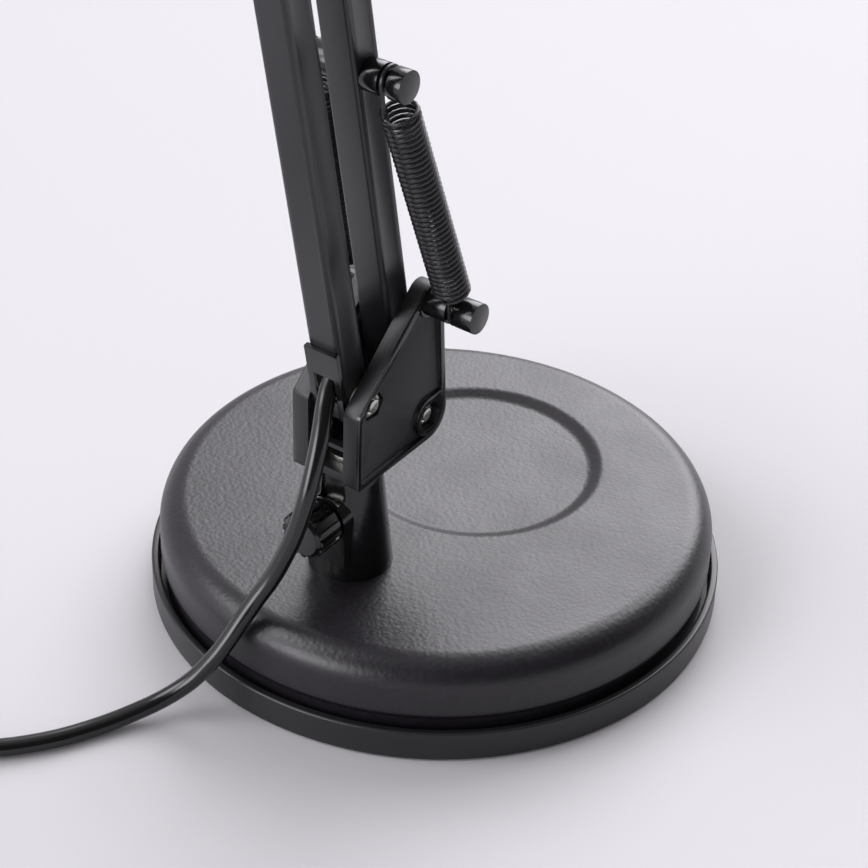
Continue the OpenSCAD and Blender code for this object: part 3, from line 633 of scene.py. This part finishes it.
@dataclass(frozen=True)
class NaturalNylon:
    """Natural PA6 bush: ivory, waxy and a little see-through at its flange."""

    name: str = "natural nylon"
    colour: str = "#dcd8c8"
    tint: str = "#e6e3d6"
    cloud_mm: float = 4.0

    def material(self) -> bpy.types.Material:
        """Builds the material."""
        material, shader = new_material(
            self.name, Roughness=0.42, IOR=1.53, Subsurface_Weight=0.25, Subsurface_Scale=1.2 * MM
        )
        tree = material.node_tree
        cloud = add_node(tree, NOISE, {"Vector": place_of(tree), "Scale": per_metre(self.cloud_mm), "Detail": 2.0})
        tree.links.new(mixed_colour(tree, cloud.outputs["Fac"], self.colour, self.tint), shader.inputs["Base Color"])
        return material


@dataclass(frozen=True)
class PvcSheath:
    """Extruded soft PVC: black and oily bright, with slow lumps where the wires twist beneath it."""

    name: str = "extruded black PVC sheath"
    colour: str = "#0e0e0f"
    roughness: float = 0.17
    lump_mm: float = 22.0
    lump_depth_mm: float = 0.05
    haze_mm: float = 2.2

    def material(self) -> bpy.types.Material:
        """Builds the material."""
        material, shader = new_material(self.name, Base_Color=linear_colour(self.colour), IOR=1.53)
        tree = material.node_tree
        place = place_of(tree)
        lumps = add_node(tree, NOISE, {"Vector": place, "Scale": per_metre(self.lump_mm), "Detail": 1.0})
        haze = add_node(tree, NOISE, {"Vector": place, "Scale": per_metre(self.haze_mm), "Detail": 4.0})
        rough = level_between(tree, haze.outputs["Fac"], (0.3, 0.75), (self.roughness - 0.02, self.roughness + 0.04))
        tree.links.new(rough, shader.inputs["Roughness"])
        bump = {"Height": lumps.outputs["Fac"], "Distance": self.lump_depth_mm * MM, "Strength": 1.0}
        tree.links.new(add_node(tree, "ShaderNodeBump", bump).outputs["Normal"], shader.inputs["Normal"])
        return material


@dataclass(frozen=True)
class GlazedCeramic:
    """Slip-glazed steatite: warm white with a glassy skin."""

    name: str = "glazed white ceramic"
    colour: str = "#e4e0d5"
    speck: str = "#cfc9ba"
    speck_mm: float = 1.5

    def material(self) -> bpy.types.Material:
        """Builds the material."""
        material, shader = new_material(self.name, Roughness=0.3, Coat_Weight=0.8, Coat_Roughness=0.06)
        tree = material.node_tree
        specks = add_node(tree, NOISE, {"Vector": place_of(tree), "Scale": per_metre(self.speck_mm), "Detail": 5.0})
        share = level_between(tree, specks.outputs["Fac"], (0.6, 0.75), (0.0, 1.0))
        tree.links.new(mixed_colour(tree, share, self.colour, self.speck), shader.inputs["Base Color"])
        return material


@dataclass(frozen=True)
class OpalGlass:
    """Opal-coated bulb glass over a plated screw cap: milky, smooth and bright."""

    name: str = "opal coated glass"
    colour: str = "#f1efe8"
    cap: str = "#b9b8b0"
    cloud_mm: float = 25.0

    def material(self) -> bpy.types.Material:
        """Builds the material."""
        material, shader = new_material(
            self.name, Roughness=0.12, IOR=1.5, Subsurface_Weight=0.4, Subsurface_Scale=4 * MM
        )
        tree = material.node_tree
        cloud = add_node(tree, NOISE, {"Vector": place_of(tree), "Scale": per_metre(self.cloud_mm), "Detail": 2.0})
        share = level_between(tree, cloud.outputs["Fac"], (0.3, 0.7), (0.0, 0.12))
        tree.links.new(mixed_colour(tree, share, self.colour, self.cap), shader.inputs["Base Color"])
        return material


class Finishes:
    """Every finish, built once and handed out by the record's slot."""

    def __init__(self) -> None:
        """Builds the materials."""
        self.by_slot = {
            Slot.BLACK_STEEL: PowderCoat().material(),
            Slot.WRINKLE_STEEL: WrinkleCoat().material(),
            Slot.BLACK_PLASTIC: MouldedPlastic().material(),
            Slot.MATTE_BLACK: PowderCoat(name="satin black moulded tray", colour="#161618", tint="#1b1b1d").material(),
            Slot.ZINC: ZincPlate().material(),
            Slot.IRON: CastIron().material(),
            Slot.FOAM: CellFoam().material(),
            Slot.SPRING_STEEL: SpringWire().material(),
            Slot.NYLON: NaturalNylon().material(),
            Slot.CABLE: PvcSheath().material(),
            Slot.PORCELAIN: GlazedCeramic().material(),
            Slot.OPAL_GLASS: OpalGlass().material(),
        }
        self.bracket = ErodedMoulding().material()

    def dress(self, piece: bpy.types.Object, slot: Slot, material: bpy.types.Material | None = None) -> None:
        """Gives a new piece the finish of a record's slot.

        Args:
            piece: the new piece.
            slot: the record's slot that it takes its finish from.
            material: another material than the slot's own.
        """
        piece.data.materials.clear()
        piece.data.materials.append(material or self.by_slot[slot])


# ---------- the lamp's measures ----------


@dataclass(frozen=True)
class Measures:
    """Sizes that several sub-assemblies share, in metres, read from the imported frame."""

    cable_radius: float = 2.7 * MM
    wire_radius: float = 0.65 * MM
    spring_radius: float = 5.5 * MM
    pins: dict[str, np.ndarray] = field(default_factory=dict)

    @classmethod
    def from_frame(cls) -> "Measures":
        """Reads the places of the joints.

        Returns:
            The measures, with each joint's place by its name.
        """
        pins = {joint["name"]: np.array(joint["pos_m"], float) for joint in frame["joints"]}
        return cls(pins=pins)


def middle_of(node: str) -> np.ndarray:
    """The middle of a CAD node's box."""
    low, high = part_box(node)
    return (np.array(low) + np.array(high)) / 2


# ---------- camera, floor and light ----------


@dataclass
class Studio:
    """A pale floor, soft light from large panels and the camera."""

    eye: tuple[float, float, float] = (-461.2 * MM, -324.7 * MM, 448.6 * MM)
    turn_deg: tuple[float, float, float] = (54.904, -1.614, -53.555)
    lens_mm: float = 92.64
    sensor_mm: float = 36.0
    floor_half: float = 60.0
    floor_colour: str = "#c1c0c2"
    sky_colour: str = "#f6f4f9"
    room: float = 0.1
    glows: tuple[tuple[float, float, tuple[float, float], float], ...] = (
        (12, 37, (32, 13), 6.6),
        (60, 80, (50, 15), 0.35),
        (35, 8, (100, 40), 0.6),
        (132, 44, (24, 6), 5.2),
        (150, 8, (50, 15), 1.4),
        (168, 14, (22, 6), 6.0),
    )

    def camera(self) -> None:
        """Makes the one camera."""
        data = bpy.data.cameras.new("camera")
        data.lens = self.lens_mm
        data.sensor_width = self.sensor_mm
        data.clip_start, data.clip_end = 0.02, 50
        eye = bpy.data.objects.new("camera", data)
        eye.location = self.eye
        eye.rotation_euler = [math.radians(angle) for angle in self.turn_deg]
        bpy.context.scene.collection.objects.link(eye)
        bpy.context.scene.camera = eye

    def floor(self) -> None:
        """Makes the floor, a flat square at height 0."""
        half = self.floor_half
        mesh = bpy.data.meshes.new("floor")
        corners = [(-half, -half, 0), (half, -half, 0), (half, half, 0), (-half, half, 0)]
        mesh.from_pydata(corners, [], [(0, 1, 2, 3)])
        floor = bpy.data.objects.new("floor", mesh)
        bpy.context.scene.collection.objects.link(floor)
        material, _ = new_material("matt pale floor", Base_Color=linear_colour(self.floor_colour), Roughness=0.7)
        mesh.materials.append(material)

    def glow(
        self, tree: bpy.types.NodeTree, azimuth: float, elevation: float, spread: tuple[float, float], strength: float
    ) -> bpy.types.NodeSocket:
        """A soft round patch of brightness in the sky, from its edge's cosine to its core's.

        Args:
            tree: the sky's node tree.
            azimuth: the patch's direction from +X towards +Y, in degrees.
            elevation: its height over the horizon, in degrees.
            spread: the angles from its middle where it fades out and where it is full, in degrees.
            strength: its brightness, as a share of white.

        Returns:
            The brightness in each direction.
        """
        turn, lift = math.radians(azimuth), math.radians(elevation)
        towards = (math.cos(lift) * math.cos(turn), math.cos(lift) * math.sin(turn), math.sin(lift))
        ray = add_node(tree, "ShaderNodeTexCoord").outputs["Generated"]
        cosine = add_node(tree, "ShaderNodeVectorMath", {0: ray, 1: towards}, operation="DOT_PRODUCT").outputs["Value"]
        edge, core = (math.cos(math.radians(angle)) for angle in spread)
        inputs = {"Value": cosine, "From Min": edge, "From Max": core, "To Min": 0.0, "To Max": strength}
        return add_node(tree, "ShaderNodeMapRange", inputs, interpolation_type="SMOOTHSTEP").outputs["Result"]

    def light(self) -> None:
        """Sets the sky: a softbox beyond the lamp, one overhead, a pale far wall and a dark room behind the camera."""
        world = bpy.data.worlds.new("studio sky")
        bpy.context.scene.world = world
        world.use_nodes = True
        tree = world.node_tree
        total = add_node(tree, "ShaderNodeValue").outputs[0]
        total.default_value = self.room
        for azimuth, elevation, spread, strength in self.glows:
            patch = self.glow(tree, azimuth, elevation, spread, strength)
            total = add_node(tree, "ShaderNodeMath", {0: total, 1: patch}, operation="ADD").outputs[0]
        background = tree.nodes["Background"]
        background.inputs["Color"].default_value = linear_colour(self.sky_colour)
        tree.links.new(total, background.inputs["Strength"])
        bpy.context.scene.view_settings.view_transform = "Standard"

    def build(self) -> None:
        """Makes the camera, the floor and the light."""
        self.camera()
        self.floor()
        self.light()


# ---------- cables ----------


@dataclass
class MainsLead:
    """The lead from the foot of the lower arm down behind the post and along the floor to its coil and plug."""

    measures: Measures
    finishes: Finishes
    length: float = 1.8
    join: int = 7  # the lead follows the arm and bracket up to this point, and the bracket and base after it
    coil_inner: float = 23.7 * MM
    coil_outer: float = 40.3 * MM
    layer_low: float = 2.7 * MM
    layer_high: float = 8.2 * MM
    leave_deg: float = 130.0
    spiral_turns: float = 3.05
    climb_turns: float = 0.9
    whole_turns: int = 7
    samples_a_turn: int = 40

    @property
    def route(self) -> np.ndarray:
        """The listed points from the arm to the coil, as the CAD cord has them."""
        return MM * np.array([
            [-50.6, 0, 110], [-52.4, 0, 103.6], [-55.6, -0.6, 98.6], [-59, -2, 94.6], [-62.5, -3.6, 89.6],
            [-65.4, -4.6, 84.6], [-68.6, -5.2, 78], [-71.4, -5.2, 71], [-74.4, -4, 61.5], [-77, -2, 53.5],
            [-80, 0.6, 45.5], [-83.6, 3.4, 38.8], [-87.6, 5.4, 33], [-91.4, 7.4, 27], [-95.2, 10.2, 20.6],
            [-99.8, 14.8, 13], [-106, 20.2, 7.4], [-114, 25.6, 4.2], [-124, 31, 2.8], [-136, 37.6, 2.7],
            [-148, 47.4, 2.7], [-158, 60, 2.7], [-165, 70.5, 2.7], [-168.6, 80, 2.7],
        ])

    @property
    def coil_centre(self) -> np.ndarray:
        """The middle of the coil on the floor."""
        return middle_of("mains_cord_coil") * [1, 1, 0]

    def coil(self) -> np.ndarray:
        """The coil's turns: inwards in the low layer, a climb at the inside, and outwards in the high layer.

        The radius falls evenly with the angle, stays while the cord climbs, rises evenly again and then stays.

        Returns:
            The points of the coil's centre line.
        """
        turns = self.whole_turns + self.leave_deg / 360
        angle = np.arange(int(turns * self.samples_a_turn)) / self.samples_a_turn
        inwards = np.clip(angle / self.spiral_turns, 0, 1)
        climb = ease((angle - self.spiral_turns) / self.climb_turns)
        outwards = np.clip((angle - self.spiral_turns - self.climb_turns) / self.spiral_turns, 0, 1)
        radius = self.coil_outer - (self.coil_outer - self.coil_inner) * (inwards - outwards)
        height = self.layer_low + (self.layer_high - self.layer_low) * climb
        turn = 2 * np.pi * angle
        flat = np.stack([radius * np.cos(turn), radius * np.sin(turn), height], -1)
        return self.coil_centre + flat

    def tail(self, plug_entry: np.ndarray) -> np.ndarray:
        """The last bend from the coil into the plug.

        Args:
            plug_entry: the point where the cord enters the plug, which faces -Y.

        Returns:
            The points after the coil's last one.
        """
        turn = math.radians(self.leave_deg)
        leave = self.coil_centre + [
            self.coil_outer * math.cos(turn), self.coil_outer * math.sin(turn), self.layer_high
        ]
        away = np.array([-math.sin(turn), math.cos(turn), 0])
        reach = 0.5 * np.linalg.norm(plug_entry - leave)
        t = np.linspace(0, 1, 15)[:, None]
        a, b, c, d = leave, leave + away * reach, plug_entry + [0, reach, 0], plug_entry - [0, 6 * MM, 0]
        return (1 - t) ** 3 * a + 3 * t * (1 - t) ** 2 * b + 3 * t**2 * (1 - t) * c + t**3 * d

    def plug(self) -> bpy.types.Object:
        """A flat two-pin plug: a superellipse body that narrows to its cord, ribs at the neck and two sleeved pins.

        The body's section is |x/a|^n + |z/b|^n = 1 with a and b following a profile along its length.

        Returns:
            The plug, in the place of the CAD one.
        """
        low, high = (np.array(corner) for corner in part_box("plug_and_pins"))
        middle = (low + high) / 2
        pin_length, body_end = 18 * MM, high[1]
        body_start = low[1] + pin_length
        length = body_end - body_start
        stations = np.linspace(0, 1, 60)
        flare = ease((stations - 0.02) / 0.2)
        taper = 1 - 0.52 * ease((stations - 0.45) / 0.5)
        ribs = 1 - 0.09 * (stations > 0.62) * (np.sin(stations * 2 * np.pi * 16) > 0)
        half_x = 7 * MM * (0.9 + 0.1 * flare) * taper * ribs
        half_z = 6.9 * MM * (0.84 + 0.16 * flare) * (1 - 0.45 * ease((stations - 0.4) / 0.5)) * ribs
        angle = np.arange(48) * 2 * np.pi / 48
        power = 2 / 3.2
        cos, sin = np.cos(angle), np.sin(angle)
        x = half_x[:, None] * (np.sign(cos) * np.abs(cos) ** power)[None]
        z = half_z[:, None] * (np.sign(sin) * np.abs(sin) ** power)[None]
        y = np.broadcast_to((body_start + stations * length)[:, None], x.shape)
        body = grid_piece("plug_body", np.stack([middle[0] + x, y, middle[2] + z], -1), wrap_columns=True, caps=True)
        self.finishes.dress(body, Slot.CABLE)
        pins = []
        for side in Side:
            centre = np.array([middle[0] + side.value * 4.5 * MM, body_start + MM, middle[2]])
            profile = rounded_profile([
                (0, 0, 0), (1.95 * MM, 0, 0), (1.95 * MM, 10 * MM, 0), (1.7 * MM, 10 * MM, 0),
                (1.7 * MM, pin_length + MM, 1.2 * MM), (0, pin_length + MM, 0),
            ])
            pin = turned(f"plug_pin_{side.name.lower()}", profile, centre, np.array([0, -1.0, 0]), 32)
            self.finishes.dress(pin, Slot.ZINC)
            pins.append(pin)
        return joined("plug", [body, *pins])

    def tie(self) -> bpy.types.Object:
        """A strap over the coil: a flat band round a rounded oblong, open to the floor below."""
        low, high = (np.array(corner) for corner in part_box("cord_tie"))
        inset = 0.4 * MM
        top, near, far = high[2] - inset, low[1] + inset, high[1] - inset
        corner = 3 * MM
        outline = rounded_profile([
            (near, inset, 0), (near, top, corner), (far, top, corner), (far, inset, 0)
        ], 8)
        along = unit(np.gradient(outline, axis=0))
        out = np.stack([-along[:, 1], along[:, 0]], -1)
        angle = np.arange(16) * 2 * np.pi / 16
        thick, wide = inset, (high[0] - low[0]) / 2
        power = 0.4
        lift = thick * np.sign(np.sin(angle)) * np.abs(np.sin(angle)) ** power
        across = wide * np.sign(np.cos(angle)) * np.abs(np.cos(angle)) ** power
        y = outline[:, :1] + out[:, :1] * lift
        z = outline[:, 1:] + out[:, 1:] * lift
        x = np.broadcast_to(middle_of("cord_tie")[0] + across, y.shape)
        band = grid_piece("coil_tie", np.stack([x, y, z], -1), wrap_columns=True, caps=True)
        self.finishes.dress(band, Slot.MATTE_BLACK)
        return band

    def build(self) -> None:
        """Makes the lead's two stretches, its tie and its plug."""
        radius = self.measures.cable_radius
        samples = 6
        above_floor = through(self.route, samples)
        upper_path = above_floor[: self.join * samples + 2]
        upper = round_tube("mains_lead_at_arm", upper_path, radius)
        self.finishes.dress(upper, Slot.CABLE)
        low, high = (np.array(corner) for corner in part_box("plug_and_pins"))
        entry = np.array([(low[0] + high[0]) / 2, high[1], (low[2] + high[2]) / 2])
        stored = through(np.vstack([self.route[-1:], self.coil()[::2], self.tail(entry)]), 3)
        lower_path = np.vstack([above_floor[self.join * samples : -1], stored])
        lower = round_tube("mains_lead", lower_path, radius, 16)
        self.finishes.dress(lower, Slot.CABLE)
        plug, tie = self.plug(), self.tie()
        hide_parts("mains_cord", "mains_cord_coil")
        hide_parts("plug_and_pins")
        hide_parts("cord_tie")
        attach(plug, "base")
        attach(tie, "base")
        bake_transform(upper)
        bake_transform(lower)
        LOG.info("mains lead: %.3f m", run_length(lower_path) + run_length(upper_path))


def arm_axes(lean_deg: float, rise_deg: float) -> tuple[np.ndarray, np.ndarray, np.ndarray, np.ndarray]:
    """Directions of the two arms.

    Args:
        lean_deg: the lower arm's lean backwards from upright.
        rise_deg: the upper arm's rise from level.

    Returns:
        Along and outwards of the lower arm, then along and outwards of the upper arm.
    """
    lean, rise = math.radians(lean_deg), math.radians(rise_deg)
    low = np.array([-math.sin(lean), 0, math.cos(lean)])
    low_out = np.array([-math.cos(lean), 0, -math.sin(lean)])
    up = np.array([math.cos(rise), 0, math.sin(rise)])
    up_out = np.array([-math.sin(rise), 0, math.cos(rise)])
    return low, low_out, up, up_out


def clockwise_arc(centre: np.ndarray, radius: float, start: float, end: float, count: int) -> np.ndarray:
    """Points of a clockwise arc in the X-Z plane: centre - r (cos a, -sin a), a being the heading off the vertical.

    Args:
        centre: the arc's centre.
        radius: its radius.
        start: the heading where it starts, in radians.
        end: the heading where it ends.
        count: the number of points, the start left out.

    Returns:
        The points, one per row.
    """
    heading = np.linspace(start, end, count + 1)[1:]
    return centre - radius * np.stack([np.cos(heading), np.zeros(count), -np.sin(heading)], axis=1)


@dataclass
class ArmCables:
    """The cable's two free loops: round the elbow, through its clip, and from the upper arm into the lampholder."""

    measures: Measures
    finishes: Finishes
    lean_deg: float = 11.0
    rise_deg: float = 22.0
    clip_turn_deg: float = 21.0
    bend_long: float = 26 * MM
    bend_out: float = 9.5 * MM
    below_radius: float = 25 * MM
    below_from: float = 22 * MM
    above_from: float = 24 * MM
    past_arc: float = 11 * MM
    per_span: int = 8

    def side_step(self) -> np.ndarray:
        """Two equal arcs that carry the cable from a tube's middle line out beside it.

        With the turn t = 2 atan(out / long) and r = long / (2 sin t), a point of the first arc is
        (r sin a, r (1 - cos a)), and the second arc is the first one turned half round.

        Returns:
            Distances along the tube and out of it, one pair per row.
        """
        turn = 2 * math.atan(self.bend_out / self.bend_long)
        radius = self.bend_long / 2 / math.sin(turn)
        angle = turn * np.arange(4) / 3
        first = radius * np.stack([np.sin(angle), 1 - np.cos(angle)], axis=1)
        second = np.array([self.bend_long, self.bend_out]) - first[2::-1]
        return np.vstack([first, second])

    def stretch(self, name: str, path: np.ndarray, bodies: tuple[str, str], node: str) -> None:
        """One free stretch of cable between two bodies.

        Args:
            name: the piece's name.
            path: its centre line.
            bodies: the bodies at its start and at its end.
            node: the CAD node that it stands for, or nothing.
        """
        piece = round_tube(name, path, self.measures.cable_radius)
        self.finishes.dress(piece, Slot.CABLE)
        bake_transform(piece)
        if node:
            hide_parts(node)
        LOG.info("%s from %s to %s", name, *bodies)

    def round_elbow(self) -> None:
        """The loop from the lower arm through the elbow's clip and into the upper arm."""
        low, low_out, up, up_out = arm_axes(self.lean_deg, self.rise_deg)
        rear, top = (self.measures.pins[name] for name in ("elbow_level", "upper_arm_tilt"))
        step = self.side_step()
        below = rear + (step[:, :1] - self.below_from) * low + step[:, 1:] * low_out
        clip_turn, lean = math.radians(self.clip_turn_deg), math.radians(self.lean_deg)
        arc = clockwise_arc(below[-1] - self.below_radius * low_out, self.below_radius, -lean, clip_turn, 3)
        clip = arc[-1] + self.past_arc * np.array([math.sin(clip_turn), 0, math.cos(clip_turn)])
        above = top + (self.above_from - step[::-1, :1]) * up + step[::-1, 1:] * up_out
        chord = above[0] - clip
        heading = math.radians(90 - self.rise_deg)
        half = heading - math.atan2(chord[0], chord[2])
        radius = float(np.linalg.norm(chord)) / 2 / math.sin(half)
        over = clockwise_arc(above[0] - radius * up_out, radius, heading - 2 * half, heading, 4)
        path = through(np.vstack([below, arc, clip, over[:-1], above]), self.per_span)
        cut = self.per_span * (len(below) + len(arc))
        self.stretch("elbow_cable_below_clip", path[: cut + 1], ("rear_lower_arm", "elbow"),
                     "elbow_cable_lower")
        self.stretch("elbow_cable_above_clip", path[cut:], ("elbow", "top_upper_arm"),
                     "elbow_cable_upper")

    def into_lampholder(self) -> None:
        """The loop from the upper arm over the tilt joint and into the lampholder's side."""
        _, _, up, up_out = arm_axes(self.lean_deg, self.rise_deg)
        top = self.measures.pins["head_level"]
        step = self.side_step()
        leaving = top + (step[:, :1] - self.above_from) * up + step[:, 1:] * up_out
        over = top + MM * np.array([[9, 0, 14.5], [19, 0, 19.5], [30, 0, 21.5], [40.5, 0, 20.2], [50, 0, 17]])
        path = through(np.vstack([leaving, over]), self.per_span)
        cut = self.per_span * len(leaving)
        self.stretch("head_cable_at_arm", path[: cut + 1], ("top_upper_arm", "head_link"),
                     "head_cable")
        self.stretch("head_cable_at_lampholder", path[cut:], ("head_link", "head"), "")

    def build(self) -> None:
        """Makes the elbow's two stretches and the head's two."""
        self.round_elbow()
        self.into_lampholder()


# ---------- springs ----------


@dataclass
class Springs:
    """The four close-wound tension springs with a loop over each peg."""

    measures: Measures
    finishes: Finishes
    turns: int = 38
    samples_a_turn: int = 16
    hook_radius: float = 4.0 * MM
    arm_gap: float = 8.5 * MM
    peg_gap: float = 6.5 * MM
    arm_head: float = 4.4 * MM
    fixed_head: float = 6 * MM
    groove: float = 3 * MM

    def hook(self, peg: np.ndarray, along: np.ndarray, across: np.ndarray) -> np.ndarray:
        """An open loop round a peg that leaves along the spring at its side.

        Each point is peg + hook radius (cos a along + sin a across), with a from 355 to 90 degrees.

        Args:
            peg: the middle of the peg's groove.
            along: the direction from the peg towards the coil.
            across: the direction to the side that the wire leaves on.

        Returns:
            The loop's points, its free end first.
        """
        angle = np.radians(np.linspace(355, 90, 24))[:, None]
        return peg + self.hook_radius * (np.cos(angle) * along + np.sin(angle) * across)

    def wire(self, arm_peg: np.ndarray, fixed_peg: np.ndarray) -> np.ndarray:
        """The wire's centre line: a loop, a helix of R (cos a across + sin a up) + h along, and a loop.

        Args:
            arm_peg: the middle of the arm peg's groove.
            fixed_peg: the middle of the other peg's groove.

        Returns:
            The points of the wire.
        """
        along = unit(fixed_peg - arm_peg)
        across = unit(np.cross([0, 1.0, 0], along))
        up = np.cross(along, across)
        length = np.linalg.norm(fixed_peg - arm_peg)
        helix_radius = self.measures.spring_radius - self.measures.wire_radius
        start, end = self.arm_gap + self.measures.wire_radius, length - self.peg_gap - self.measures.wire_radius
        count = self.turns * self.samples_a_turn
        turn = np.linspace(0, 2 * np.pi * self.turns, count + 1)[:, None]
        height = np.linspace(start, end, count + 1)[:, None]
        helix = arm_peg + height * along + helix_radius * (np.cos(turn) * across + np.sin(turn) * up)
        first = self.hook(arm_peg, along, across)
        last = self.hook(fixed_peg, -along, across)[::-1]
        return np.vstack([first, helix[1:-1], last])

    def build(self) -> None:
        """Makes the four springs."""
        for arm, bodies, arm_node, fixed_node in (
            ("lower", ("bracket", "front_lower_arm"), "arm_spring_peg", "bracket_spring_pegs"),
            ("upper", ("elbow", "low_upper_arm"), "upper_spring_peg", "elbow_spring_pegs"),
        ):
            for side in Side:
                arm_peg, fixed_peg = middle_of(arm_node), middle_of(fixed_node)
                arm_peg[1] = side.value * (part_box(arm_node)[1][1] - self.arm_head - self.groove / 2)
                fixed_peg[1] = side.value * (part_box(fixed_node)[1][1] - self.fixed_head - self.groove / 2)
                wire = self.wire(arm_peg, fixed_peg)
                spring = round_tube(f"{arm}_spring_coil_{side.name.lower()}", wire, self.measures.wire_radius, 8)
                self.finishes.dress(spring, Slot.SPRING_STEEL)
                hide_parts(f"{arm}_spring_{side.name.lower()}")
                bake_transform(spring)


# ---------- base ----------


@dataclass
class BasePressings:
    """The lid, one pressed sheet with a round tray sunk in it, and the rimmed tray it stands in."""

    finishes: Finishes
    sheet: float = 1.2 * MM
    edge_radius: float = 9 * MM
    dish_radius: float = 41.25 * MM
    dish_depth: float = 1.8 * MM
    dish_slope: float = 4.4 * MM
    dish_forward: float = 20 * MM
    lip_radius: float = 1.1 * MM
    floor_radius: float = 1.2 * MM
    step_in: float = 1.2 * MM
    step_height: float = 14 * MM
    rim_wall: float = 2.4 * MM
    sides: int = 240

    def lid_stations(self, low: float, top: float, radius: float) -> tuple[np.ndarray, np.ndarray]:
        """The lid's section as radius and height, with the share of the tray's offset at each point.

        Args:
            low: the height of the lid's lower edge.
            top: the height of its flat top.
            radius: its outside radius.

        Returns:
            The section's points, and how far each is moved forward with the sunk tray, from 1 to 0.
        """
        sunk = top - self.dish_depth
        inner = rounded_profile([
            (0, sunk, 0), (self.dish_radius - self.dish_slope, sunk, self.floor_radius),
            (self.dish_radius - 0.7 * MM, top, self.lip_radius), (self.dish_radius + 4 * MM, top, 0),
        ], 8)
        arc = np.linspace(np.pi / 2, 0, 20)[:, None]
        crown = np.hstack([
            radius - self.edge_radius + self.edge_radius * np.cos(arc),
            top - self.edge_radius + self.edge_radius * np.sin(arc),
        ])
        foot = rounded_profile([
            (radius, self.step_height + 3 * MM, 0), (radius, self.step_height, 1.2 * MM),
            (radius - self.step_in, self.step_height - 1.0 * MM, 0.8 * MM), (radius - self.step_in, low, 0),
        ], 5)
        hem = np.array([(radius - self.step_in - self.sheet, low), (radius - self.step_in - self.sheet, top - 12 * MM)])
        section = np.vstack([inner, crown, foot, hem])
        share = np.concatenate([np.ones(len(inner)), np.zeros(len(crown) + len(foot) + len(hem))])
        return section, share

    def lid(self) -> bpy.types.Object:
        """The lid's sheet, open below: each section point turns round the base's axis or the sunk tray's.

        A point is (r cos a + share times the offset, r sin a, z).
        """
        low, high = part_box("base_lid")
        section, share = self.lid_stations(low[2], high[2], high[0])
        angle = np.arange(self.sides) * 2 * np.pi / self.sides
        x = section[:, :1] * np.cos(angle) + (share * self.dish_forward)[:, None]
        y = section[:, :1] * np.sin(angle)
        z = np.broadcast_to(section[:, 1:], x.shape)
        inside = np.stack([x[-1:] * 0, y[-1:] * 0, z[-1:]], -1)
        points = np.concatenate([np.stack([x, y, z], -1), inside])
        lid = grid_piece("base_lid_pressing", points, wrap_columns=True)
        self.finishes.dress(lid, Slot.WRINKLE_STEEL)
        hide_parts("base_lid")
        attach(lid, "base")
        return lid

    def tray(self) -> bpy.types.Object:
        """The tray: a turned section with a flat floor and a round-edged rim."""
        low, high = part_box("base_tray")
        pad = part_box("base_foot_pad")[1]
        radius, floor = high[0], low[2]
        profile = rounded_profile([
            (0, pad[2], 0), (pad[0] + 0.4 * MM, pad[2], 0.3 * MM), (pad[0] + 0.4 * MM, floor, 0.2 * MM),
            (radius, floor, 0.9 * MM), (radius, high[2], 0.8 * MM),
            (radius - self.rim_wall, high[2], 0.7 * MM), (radius - self.rim_wall, pad[2] + 2 * MM, 0.5 * MM),
            (0, pad[2] + 2 * MM, 0),
        ], 6)
        tray = turned("base_tray_rimmed", profile, np.zeros(3), np.array([0, 0, 1.0]), self.sides)
        self.finishes.dress(tray, Slot.MATTE_BLACK)
        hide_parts("base_tray")
        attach(tray, "base")
        return tray

    def build(self) -> None:
        """Makes both pressings."""
        for piece in (self.lid(), self.tray()):
            LOG.info("%s: %d vertices", piece.name, len(piece.data.vertices))


# ---------- carried-over nodes ----------


@dataclass
class CarriedNodes:
    """The CAD nodes that keep their shape, with small rounded edges and their finish."""

    finishes: Finishes
    edge: float = 0.4 * MM
    edge_from_deg: float = 40.0

    def round_edges(self, node: bpy.types.Object) -> None:
        """Welds the node's loose triangles, rounds its edges and shades it smooth, all as modifiers."""
        node.data.shade_smooth()
        weld = node.modifiers.new("weld", "WELD")
        weld.merge_threshold = 1e-6
        bevel = node.modifiers.new("edges", "BEVEL")
        bevel.limit_method, bevel.angle_limit = "ANGLE", math.radians(self.edge_from_deg)
        bevel.width, bevel.segments = self.edge, 2
        split = node.modifiers.new("creases", "EDGE_SPLIT")
        split.split_angle = math.radians(35)

    def build(self) -> None:
        """Dresses each node from the record's slots."""
        slots = {part["node"]: part["material_slot"] for part in frame["record"]["subparts"]}
        for name, node in frame["nodes"].items():
            material = self.finishes.by_slot[Slot(slots[name])]
            if name == "pivot_bracket":
                material = self.finishes.bracket
            node.data.materials.clear()
            node.data.materials.append(material)
            self.round_edges(node)
        LOG.info("dressed %d nodes", len(frame["nodes"]))


def main() -> None:
    """Builds the camera and the cords, then the rest of the lamp."""
    logging.basicConfig(level=logging.INFO, format="%(name)s: %(message)s")
    Studio().build()
    measures, finishes = Measures.from_frame(), Finishes()
    CarriedNodes(finishes).build()
    MainsLead(measures, finishes).build()
    ArmCables(measures, finishes).build()
    Springs(measures, finishes).build()
    BasePressings(finishes).build()


if __name__ == "__main__":
    main()
